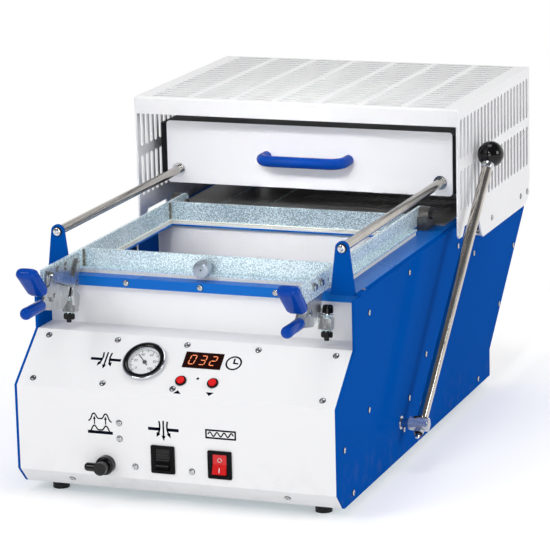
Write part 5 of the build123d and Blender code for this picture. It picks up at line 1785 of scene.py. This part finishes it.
@dataclass(frozen=True)
class ClampFrame:
    """Weld beads of the clamp frame, and the knurl and face of its knob."""

    half: float = 141.1
    beams: tuple[float, ...] = (105.0, 348.0)
    beam_side: float = 2.6
    bead_z: Point2 = (217.0, 234.5)
    bead_r: float = 1.7
    bead_steps: int = 10
    knob: Point3 = (0.0, 87.0, 224.0)
    knob_r: float = 9.0
    knurl_y: float = 4.5
    knurl_count: int = 30
    knob_face: Profile = ((-0.3, 2.0), (-0.3, 8.3), (0.3, 8.2), (0.5, 7.8), (0.5, 1.1), (0.2, 0.9))
    knob_dot: Profile = ((-0.2, 0.85), (0.35, 0.8))

    def beads(self) -> None:
        """Lay a weld bead up both sides of each corner."""
        low, high = self.bead_z
        places = []
        for sign in (-1, 1):
            for beam_y in self.beams:
                for side in (-1, 1):
                    outward = Vector((-sign, side, 0)).normalized()
                    across = Vector((sign, side, 0))
                    for step in range(self.bead_steps + 1):
                        height = low + (high - low) * step / self.bead_steps
                        spot = at(sign * self.half, beam_y + self.beam_side * side, height)
                        places.append(Place(spot, outward, across))
        Spread("weld_beads", ripple, mm(radius=self.bead_r), Finish.WELD).lay(places, "frame")

    def knob_trim(self) -> None:
        """Knurl the knob and turn its face."""
        x, y, z = self.knob
        knurl = []
        for angle in round_angles(self.knurl_count):
            outward = Vector((math.cos(angle), 0, math.sin(angle)))
            spot = at(x, y + self.knurl_y, z) + outward * self.knob_r * MM
            knurl.append(Place(spot, outward, Y_AXIS))
        sizes = mm(length=8.0, width=0.8, height=0.7)
        Spread("knob_knurl", tick, sizes, Finish.TURNED).lay(knurl, "frame")
        face = turned(at(x, y, z), -Y_AXIS, self.knob_face, steps=36)
        add_piece("knob_cap", mesh_of(face), Finish.TURNED, "frame")
        dot = turned(at(x, y, z), -Y_AXIS, self.knob_dot, steps=16)
        add_piece("knob_dot", mesh_of(dot), Finish.BLACK_MATT, "frame")

    def build(self) -> None:
        """Make the beads and the knob's trim."""
        self.beads()
        self.knob_trim()


@dataclass(frozen=True)
class ToggleClamp:
    """The soft and turned parts of one clamp: grips, cap, spindle, nuts and star knob."""

    side: str
    sign: int
    grip_x: float = 143.0
    grip_start: Point2 = (-8.0, 213.0)
    grip_l: float = 44.0
    grip_w: float = 24.0
    grip_t: float = 12.4
    grip_end: float = 6.5
    grip_steps: int = 22
    grip_sides: int = 40
    grip_swell: Point2 = (0.94, 0.1)
    grip_tip: Point2 = (0.3, 0.06)
    grip_power: Point2 = (0.62, 0.78)
    grip_lap: float = 0.5
    lower_z: float = 199.0
    lower_y: Point2 = (-47.4, -4.0)
    lower_r: float = 6.4
    lower_start: Point2 = (0.0, 0.5)
    lower_steps: int = 8
    lower_waist: float = 0.97
    lower_end: Profile = ((2.0, 1.0), (0.6, 0.94), (0.0, 0.8))
    lean: float = 10.0
    cap_r: float = 5.8
    cap_start: Point2 = (0.0, 0.6)
    cap_crown: Profile = ((0.15, 0.62), (0.8, 0.84), (2.0, 0.96), (4.0, 1.0), (8.6, 1.0), (9.0, 0.9))
    cap_foot: Point2 = (9.0, 1.5)
    spindle_x: float = 145.5
    thread_at: Point2 = (9.0, 1.0)
    thread_r: Point2 = (2.95, 2.45)
    thread_turns: int = 18
    spindle_start: Point2 = (8.6, 2.4)
    spindle_end: Profile = ((34.0, 2.4), (36.8, 2.4), (38.0, 1.9))
    washer_at: float = 10.2
    washer: Profile = ((-0.4, 3.0), (-0.4, 6.6), (0.4, 6.6), (0.4, 3.0))
    nuts_at: Point2 = (13.9, 26.1)
    star_r: float = 5.7
    star_lobe: float = 0.85
    star_lobes: int = 6
    star_sides: int = 60
    star: Profile = ((28.0, 0.8), (28.8, 0.97), (31.2, 1.0), (33.6, 0.97), (34.4, 0.8))
    star_neck: Profile = ((25.0, 2.0), (25.0, 4.0), (28.2, 4.4), (28.2, 2.0))
    star_tip: Profile = ((34.0, 1.0), (34.0, 2.8), (37.4, 2.6), (37.9, 1.6))
    pivots: Profile = ((16.0, 205.0), (34.0, 228.0), (54.0, 228.0))

    def grip_ring(self, share: float) -> list[Point2]:
        """Find the outline of the upper grip at a share of its length.

        Args:
            share: The share, from 0 at the lever to 1 at the tip.

        Returns:
            Points of (across, through) in millimetres.
        """
        end = min(share, 1 - share) * self.grip_l / self.grip_end
        round_off = math.sqrt(max(0.0, 1 - (1 - min(end, 1.0)) ** 2))
        narrow, growth = self.grip_swell
        swell = narrow + growth * share
        tip_w, tip_t = self.grip_tip
        half_w = self.grip_w / 2 * (tip_w + (1 - tip_w) * round_off) * swell
        half_t = self.grip_t / 2 * (tip_t + (1 - tip_t) * round_off)
        power_w, power_t = self.grip_power
        outline = []
        for angle in round_angles(self.grip_sides):
            c, s = math.cos(angle), math.sin(angle)
            x = math.copysign(abs(c) ** power_w, c) * half_w
            outline.append((x, math.copysign(abs(s) ** power_t, s) * half_t))
        return outline

    def upper_grip(self) -> None:
        """Make the flat oval sleeve of the moving handle."""
        along = Vector((0, -math.sqrt(0.5), math.sqrt(0.5)))
        thin = along.cross(X_AXIS)
        base = at(self.sign * self.grip_x, *self.grip_start)
        rings = []
        for step in range(self.grip_steps + 1):
            share = (1 - math.cos(math.pi * step / self.grip_steps)) / 2
            centre = base + along * (share * self.grip_l - self.grip_lap) * MM
            rings.append([centre + (X_AXIS * x + thin * t) * MM for x, t in self.grip_ring(share)])
        mesh = mesh_of(loft(rings), sharp_degrees=60)
        add_piece(f"upper_grip_{self.side}", mesh, Finish.BLUE_GRIP, f"handle_{self.side}")

    def lower_grip(self) -> None:
        """Make the round sleeve of the fixed handle."""
        front, back = self.lower_y
        length, r = back - front, self.lower_r
        profile = [self.lower_start]
        for step in range(1, self.lower_steps + 1):
            angle = math.pi / 2 * step / self.lower_steps
            profile.append((r * (1 - math.cos(angle)), r * math.sin(angle)))
        profile.append((length * 0.5, r * self.lower_waist))
        profile += [(length - inset, r * grow) for inset, grow in self.lower_end]
        sleeve = turned(at(self.sign * self.grip_x, front, self.lower_z), Y_AXIS, profile)
        grip = mesh_of(sleeve, sharp_degrees=60)
        add_piece(f"lower_grip_{self.side}", grip, Finish.BLUE_GRIP, "frame")

    def spindle_line(self) -> tuple[Vector, Vector]:
        """Find the spindle's line.

        Returns:
            The middle of its top, and its upward direction.
        """
        lean = math.radians(self.lean)
        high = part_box(f"clamp_spindle_{self.side}")[1]
        top = Vector((
            at(self.sign * self.spindle_x, 0, 0).x,
            high.y - self.cap_r * math.cos(lean) * MM,
            high.z - self.cap_r * math.sin(lean) * MM,
        ))
        return top, Vector((0, math.sin(lean), math.cos(lean)))

    def cap_and_screw(self, top: Vector, up: Vector) -> None:
        """Make the cap and the threaded spindle under it.

        Args:
            top: The middle of the spindle's top.
            up: Its upward direction.
        """
        body, node = f"hook_{self.side}", f"clamp_spindle_{self.side}"
        crown = [(drop, self.cap_r * grow) for drop, grow in self.cap_crown]
        cap = turned(top, -up, [self.cap_start, *crown, self.cap_foot])
        add_piece(f"clamp_cap_{self.side}", mesh_of(cap), Finish.CAP, body, (node,))
        start, pitch = self.thread_at
        crest, root = self.thread_r
        profile = [self.spindle_start]
        for index in range(self.thread_turns):
            profile += [(start + index * pitch, crest), (start + pitch / 2 + index * pitch, root)]
        screw = turned(top, -up, [*profile, *self.spindle_end], steps=28)
        thread = mesh_of(screw, sharp_degrees=25)
        add_piece(f"clamp_screw_{self.side}", thread, Finish.STEEL, body)

    def washer_and_nuts(self, top: Vector, up: Vector) -> None:
        """Make the washer under the cap and both nuts.

        Args:
            top: The middle of the spindle's top.
            up: Its upward direction.
        """
        body = f"hook_{self.side}"
        rim = turned(top - up * self.washer_at * MM, -up, self.washer, steps=32, hollow=True)
        add_piece(f"cap_washer_{self.side}", mesh_of(rim), Finish.CHROME, body)
        nuts = [Place(top - up * drop * MM, way) for drop, way in zip(self.nuts_at, (up, -up))]
        sizes = mm(radius=4.6, height=3.4)
        Spread(f"clamp_nuts_{self.side}", hex_nut, sizes, Finish.ZINC, spin=1.0).lay(nuts, body)

    def star_knob(self, top: Vector, up: Vector) -> None:
        """Make the lobed knob at the foot of the spindle.

        Args:
            top: The middle of the spindle's top.
            up: Its upward direction.
        """
        across, second = basis(up)
        rings = []
        for drop, grow in self.star:
            ring = []
            for angle in round_angles(self.star_sides):
                radius = (self.star_r + self.star_lobe * math.cos(self.star_lobes * angle)) * grow
                way = across * math.cos(angle) + second * math.sin(angle)
                ring.append(top - up * drop * MM + way * radius * MM)
            rings.append(ring)
        star = loft(rings[::-1])
        for profile in (self.star_neck, self.star_tip):
            turned(top, -up, profile, steps=28, shape=star)
        name, body = f"star_knob_{self.side}", f"hook_{self.side}"
        add_piece(name, mesh_of(star), Finish.RUBBER, body)

    def pivot_heads(self) -> None:
        """Put a socket head on each pivot."""
        outward = X_AXIS * self.sign
        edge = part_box("clamp_bodies")[0 if self.sign < 0 else 1].x - outward.x * 1.0 * MM
        spots = [at(0, y, z) for y, z in self.pivots]
        places = [Place(Vector((edge, spot.y, spot.z)), outward, Y_AXIS) for spot in spots]
        kit = Spread(
            f"pivot_heads_{self.side}", socket_head, mm(radius=3.4, height=1.6), Finish.STEEL, spin=1.0
        )
        kit.lay(places, "frame")

    def build(self) -> None:
        """Make the clamp's pieces."""
        self.upper_grip()
        self.lower_grip()
        top, up = self.spindle_line()
        self.cap_and_screw(top, up)
        self.washer_and_nuts(top, up)
        self.star_knob(top, up)
        self.pivot_heads()


@dataclass(frozen=True)
class HeaterCarriage:
    """Rivets and rims of the heater box."""

    rivet_r: float = 2.0
    rows: tuple[float, ...] = (252.0, 307.0)
    pitch: float = 28.0
    rim_r: float = 7.6
    rim_hole: float = 5.6
    rim_heights: Point3 = (-0.3, 0.5, 0.9)
    rim_bevel: float = 0.7

    def build(self) -> None:
        """Put rivets along both sides of the box, and a rim where each rod enters the panel."""
        low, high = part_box("heater_box")
        count = int((high.y - low.y) / MM // self.pitch)
        places = []
        for side, outward in ((low.x, -X_AXIS), (high.x, X_AXIS)):
            for row in self.rows:
                for index in range(count):
                    y = low.y + (self.pitch * (index + 0.5)) * MM
                    places.append(Place(Vector((side, y, at(0, 0, row).z)), outward, Y_AXIS))
        Spread("box_rivets", rivet, mm(radius=self.rivet_r), Finish.STEEL).lay(places, "heater")
        profile = bevelled(self.rim_hole, self.rim_r, self.rim_heights, self.rim_bevel)
        rims = facing_rings(rod_spots(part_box("heater_panel")[0].y), profile)
        add_piece("rod_rims", rims, Finish.BLACK_METAL, "heater")


@dataclass(frozen=True)
class HotFloor:
    """The sheet under the heater: light slanted ridges that paint the hatch of reflections, seams and the
    baffle behind them.
    """

    rib_rows: tuple[float, ...] = (482.0, 522.0, 562.0)
    rib_x: Point2 = (-30.0, 150.0)
    rib_pitch: float = 9.0
    rib_lean: float = 0.5
    rib_l: float = 30.0
    rib_r: float = 0.8
    seam_x: tuple[float, ...] = (-118.0, -62.0)
    seam_y: Point2 = (415.0, 640.0)
    seam_w: float = 2.0
    seam_h: float = 1.2
    baffle_half: float = 138.0
    baffle: Profile = (
        (656.0, 210.8), (657.5, 210.8), (657.5, 243.0), (662.5, 244.0), (662.5, 245.2), (656.0, 244.2),
    )

    def build(self) -> None:
        """Lay light slanted ridges on the sheet as painted reflection, lay its folded seams and stand the
        baffle behind.
        """
        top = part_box("heat_shield")[1].z
        # The slanted ridges in light aluminium are painted reflection: they stand for the diagonal hatch
        # reflected in the polished sheet, not for pressed ribs.
        way = Vector((math.sin(self.rib_lean), math.cos(self.rib_lean), 0))
        places = []
        for row in self.rib_rows:
            for index in range(int((self.rib_x[1] - self.rib_x[0]) / self.rib_pitch)):
                spot = at(self.rib_x[0] + index * self.rib_pitch, row, 0)
                places.append(Place(Vector((spot.x, spot.y, top)), Z_AXIS, way))
        sizes = mm(length=self.rib_l, radius=self.rib_r)
        Spread("shield_ribs", ridge, sizes, Finish.ALUMINIUM).lay(places, "base")
        start, end = self.seam_y
        spots = [at(x, (start + end) / 2, 0) for x in self.seam_x]
        places = [Place(Vector((spot.x, spot.y, top)), Z_AXIS, Y_AXIS) for spot in spots]
        sizes = mm(length=end - start, width=self.seam_w, height=self.seam_h)
        Spread("shield_seams", tick, sizes, Finish.ZINC).lay(places, "base")
        rings = [[at(x, y, z) for y, z in self.baffle] for x in (-self.baffle_half, self.baffle_half)]
        add_piece("rear_baffle", mesh_of(loft(rings)), Finish.BLACK_METAL, "base")


@dataclass(frozen=True)
class HandLever:
    """The grub screw and end face of the lever's hub, the nut under it and the collar under the ball."""

    shaft: Point2 = (207.0, 38.0)
    grub_x: float = 196.0
    grub_sunk: float = 0.6
    rod_r: float = 5.6
    end: Profile = ((-0.3, 1.0), (-0.3, 6.6), (0.5, 6.2), (0.6, 5.2), (0.35, 4.8), (0.35, 1.0))
    nut: Profile = ((-13.4, 1.6), (-13.4, 5.0), (-8.4, 5.0), (-8.4, 1.6))
    stub: Profile = ((-17.0, 0.5), (-16.8, 2.2), (-13.2, 2.5), (-13.2, 0.5))
    collar: Profile = (
        (-2.2, 5.2), (-2.2, 7.0), (0.6, 7.2), (0.9, 6.6), (1.5, 6.6), (1.8, 7.2), (4.4, 6.9), (5.0, 6.0),
        (5.0, 5.2),
    )

    def build(self) -> None:
        """Make the hub's screw and end, and turn the nut, the stud and the collar about the rod."""
        hub_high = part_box("lever_hub")[1]
        hub = at(self.grub_x, *self.shaft)
        grub = Place(Vector((hub.x, hub.y, hub_high.z - self.grub_sunk * MM)), Z_AXIS)
        kit = Spread("hub_grub_screw", socket_head, mm(radius=2.3, height=1.4), Finish.BLACK_METAL)
        kit.lay([grub], "lever")
        ball_low, ball_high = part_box("lever_ball")
        ball = (ball_low + ball_high) / 2
        foot = Vector((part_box("lever_rod")[0].x + self.rod_r * MM, hub.y, hub.z))
        along = (ball - foot).normalized()
        neck = ball - along * (ball_high.x - ball_low.x) / 2
        cap = turned(Vector((hub_high.x, hub.y, hub.z)), X_AXIS, self.end, steps=36)
        add_piece("hub_end", mesh_of(cap), Finish.STEEL, "lever")
        nut = turned(foot, along, self.nut, steps=6, hollow=True)
        add_piece("lever_nut", mesh_of(nut), Finish.BLACK_GLOSS, "lever")
        stub = turned(foot, along, self.stub, steps=24)
        add_piece("lever_stub", mesh_of(stub), Finish.STEEL, "lever")
        collar = turned(neck, -along, self.collar, steps=36, hollow=True)
        add_piece("lever_collar", mesh_of(collar), Finish.CHROME, "lever")


# --- Stage ---------------------------------------------------------------------------------------
@dataclass(frozen=True)
class Lamp:
    """A square soft lamp: its side in metres, its power in watts and the angle of its beam in degrees."""

    name: str
    place: Point3
    size: float
    power: float
    target: Point3 = (0, 300, 180)
    spread: float = 180.0

    def hang(self) -> None:
        """Hang the lamp."""
        data = bpy.data.lights.new(self.name, "AREA")
        data.size = self.size
        data.energy = self.power
        data.spread = math.radians(self.spread)
        lamp = bpy.data.objects.new(self.name, data)
        lamp.location = at(*self.place)
        heading = at(*self.target) - at(*self.place)
        lamp.rotation_euler = heading.to_track_quat("-Z", "Y").to_euler()
        bpy.context.scene.collection.objects.link(lamp)


@dataclass(frozen=True)
class Studio:
    """Floor, world, lamps and camera."""

    camera_at: Point3 = (1116.3, -2650.7, 926.4)
    yaw: float = 20.672
    pitch: float = 13.495
    roll: float = -1.3837
    focal_px: float = 2894.2
    frame_px: int = 550
    sensor: float = 36.0
    floor_half: float = 12.0
    floor_glow: float = 0.26
    floor_fade: float = 0.62
    fade_share: float = 0.4
    floor_colours: tuple[Colour, Colour] = (srgb(240, 240, 241), srgb(244, 244, 245))
    speck_scale: float = 3.0
    sky_colour: Colour = srgb(248, 248, 248)
    room_colour: Colour = srgb(240, 242, 246)
    floor_rough: float = 0.9
    sky: float = 0.7
    room: float = 0.14
    behind: Point2 = (0.3, 0.25)
    high: Point2 = (0.5, 0.2)
    far: float = 100.0
    lamps: tuple[Lamp, ...] = (
        Lamp("key", (-1100, -1500, 1500), 0.7, 10.5),
        Lamp("front", (500, -2200, 500), 0.9, 10.0),
        Lamp("side", (2300, 100, 900), 0.8, 14.0),
        Lamp("top", (0, 400, 2200), 0.9, 8.0),
        Lamp("panel", (100, -1300, 1150), 0.25, 0.147, (0, 400, 232), 12.0),
    )

    def camera(self) -> None:
        """Place the camera."""
        a, b, c = (math.radians(angle) for angle in (self.yaw, self.pitch, self.roll))
        ahead = Vector((-math.sin(a) * math.cos(b), math.cos(a) * math.cos(b), -math.sin(b)))
        right = Vector((math.cos(a), math.sin(a), 0))
        up = right.cross(ahead)
        across = right * math.cos(c) + up * math.sin(c)
        upward = -right * math.sin(c) + up * math.cos(c)
        data = bpy.data.cameras.new("camera")
        data.sensor_width = self.sensor
        data.sensor_fit = "HORIZONTAL"
        data.lens = self.focal_px * self.sensor / self.frame_px
        data.clip_end = self.far
        camera = bpy.data.objects.new("camera", data)
        camera.matrix_world = Matrix.Translation(at(*self.camera_at)) @ Matrix(
            (across, upward, -ahead)
        ).transposed().to_4x4()
        bpy.context.scene.collection.objects.link(camera)
        bpy.context.scene.camera = camera

    def mixed(
        self, bench: Bench, share: Signal, low: bpy.types.Node, high: bpy.types.Node
    ) -> bpy.types.Node:
        """Return a mix of two shaders."""
        inputs = {0: share, 1: low.outputs[0], 2: high.outputs[0]}
        return bench.add("ShaderNodeMixShader", inputs=inputs)

    def floor(self) -> None:
        """Lay the pale floor."""
        mesh = bpy.data.meshes.new("floor")
        h = self.floor_half
        mesh.from_pydata([(-h, -h, 0), (h, -h, 0), (h, h, 0), (-h, h, 0)], [], [(0, 1, 2, 3)])
        floor = bpy.data.objects.new("floor", mesh)
        bpy.context.scene.collection.objects.link(floor)
        pattern = Pattern("floor")
        speck = pattern.noise(self.speck_scale)
        shader = pattern.add("ShaderNodeBsdfPrincipled", inputs={
            "Base Color": pattern.blend(speck, *self.floor_colours),
            "Roughness": self.floor_rough,
        })
        glow = pattern.add("ShaderNodeEmission", inputs={"Color": WHITE, "Strength": self.floor_glow})
        lit = pattern.add("ShaderNodeAddShader", inputs={0: shader.outputs[0], 1: glow.outputs[0]})
        backdrop = pattern.add("ShaderNodeEmission", inputs={"Color": WHITE, "Strength": 1.0})
        away = pattern.add("ShaderNodeVectorMath", {"operation": "LENGTH"}, {0: pattern.coordinates})
        distance = Signal(pattern, away.outputs["Value"])
        reach = distance.above(self.floor_fade, self.floor_fade * self.fade_share)
        near = self.mixed(pattern, reach, lit, backdrop)
        path = pattern.add("ShaderNodeLightPath")
        glossy = Signal(pattern, path.outputs["Is Glossy Ray"])
        seen = Signal(pattern, path.outputs["Is Camera Ray"]).math("MAXIMUM", glossy)
        surface = self.mixed(pattern, seen, shader, near).outputs[0]
        pattern.add("ShaderNodeOutputMaterial", inputs={"Surface": surface})
        mesh.materials.append(pattern.material)

    def world(self) -> None:
        """Make the white backdrop and the even sky."""
        world = bpy.data.worlds.new("studio")
        world.use_nodes = True
        bpy.context.scene.world = world
        bench = Bench(world.node_tree)
        sky = bench.add("ShaderNodeBackground", inputs={"Color": self.sky_colour, "Strength": self.sky})
        shade = {"Color": self.room_colour, "Strength": self.room}
        dark = bench.add("ShaderNodeBackground", inputs=shade)
        white = bench.add("ShaderNodeBackground", inputs={"Color": WHITE, "Strength": 1.0})
        coordinates = bench.add("ShaderNodeTexCoord").outputs["Generated"]
        heading = bench.add("ShaderNodeSeparateXYZ", inputs={0: coordinates})
        behind = Signal(bench, heading.outputs[1]).above(*self.behind)
        low = 1.0 - Signal(bench, heading.outputs[2]).above(*self.high)
        path = bench.add("ShaderNodeLightPath")
        glossy = Signal(bench, path.outputs["Is Glossy Ray"])
        seen = Signal(bench, path.outputs["Is Camera Ray"])
        seen = seen.math("MAXIMUM", Signal(bench, path.outputs["Is Transmission Ray"]))
        seen = seen.math("MAXIMUM", glossy * behind * low)
        room = self.mixed(bench, glossy, sky, dark)
        surface = self.mixed(bench, seen, room, white).outputs[0]
        bench.add("ShaderNodeOutputWorld", inputs={"Surface": surface})

    def build(self) -> None:
        """Set the stage."""
        bpy.context.scene.view_settings.view_transform = "Standard"
        self.world()
        self.floor()
        self.camera()
        for lamp in self.lamps:
            lamp.hang()


def main() -> None:
    """Dress the machine and set the stage."""
    logging.basicConfig(level=logging.INFO, format="%(name)s %(message)s")
    dress_nodes()
    assemblies = (
        Casing(), Uprights(), PanelMarks(), Gauge(), TimerDisplay(), Switches(), ClampFrame(),
        ToggleClamp("left", -1), ToggleClamp("right", 1), HeaterCarriage(), HotFloor(), HandLever(),
        Studio(),
    )
    for assembly in assemblies:
        assembly.build()


if __name__ == "__main__":
    main()
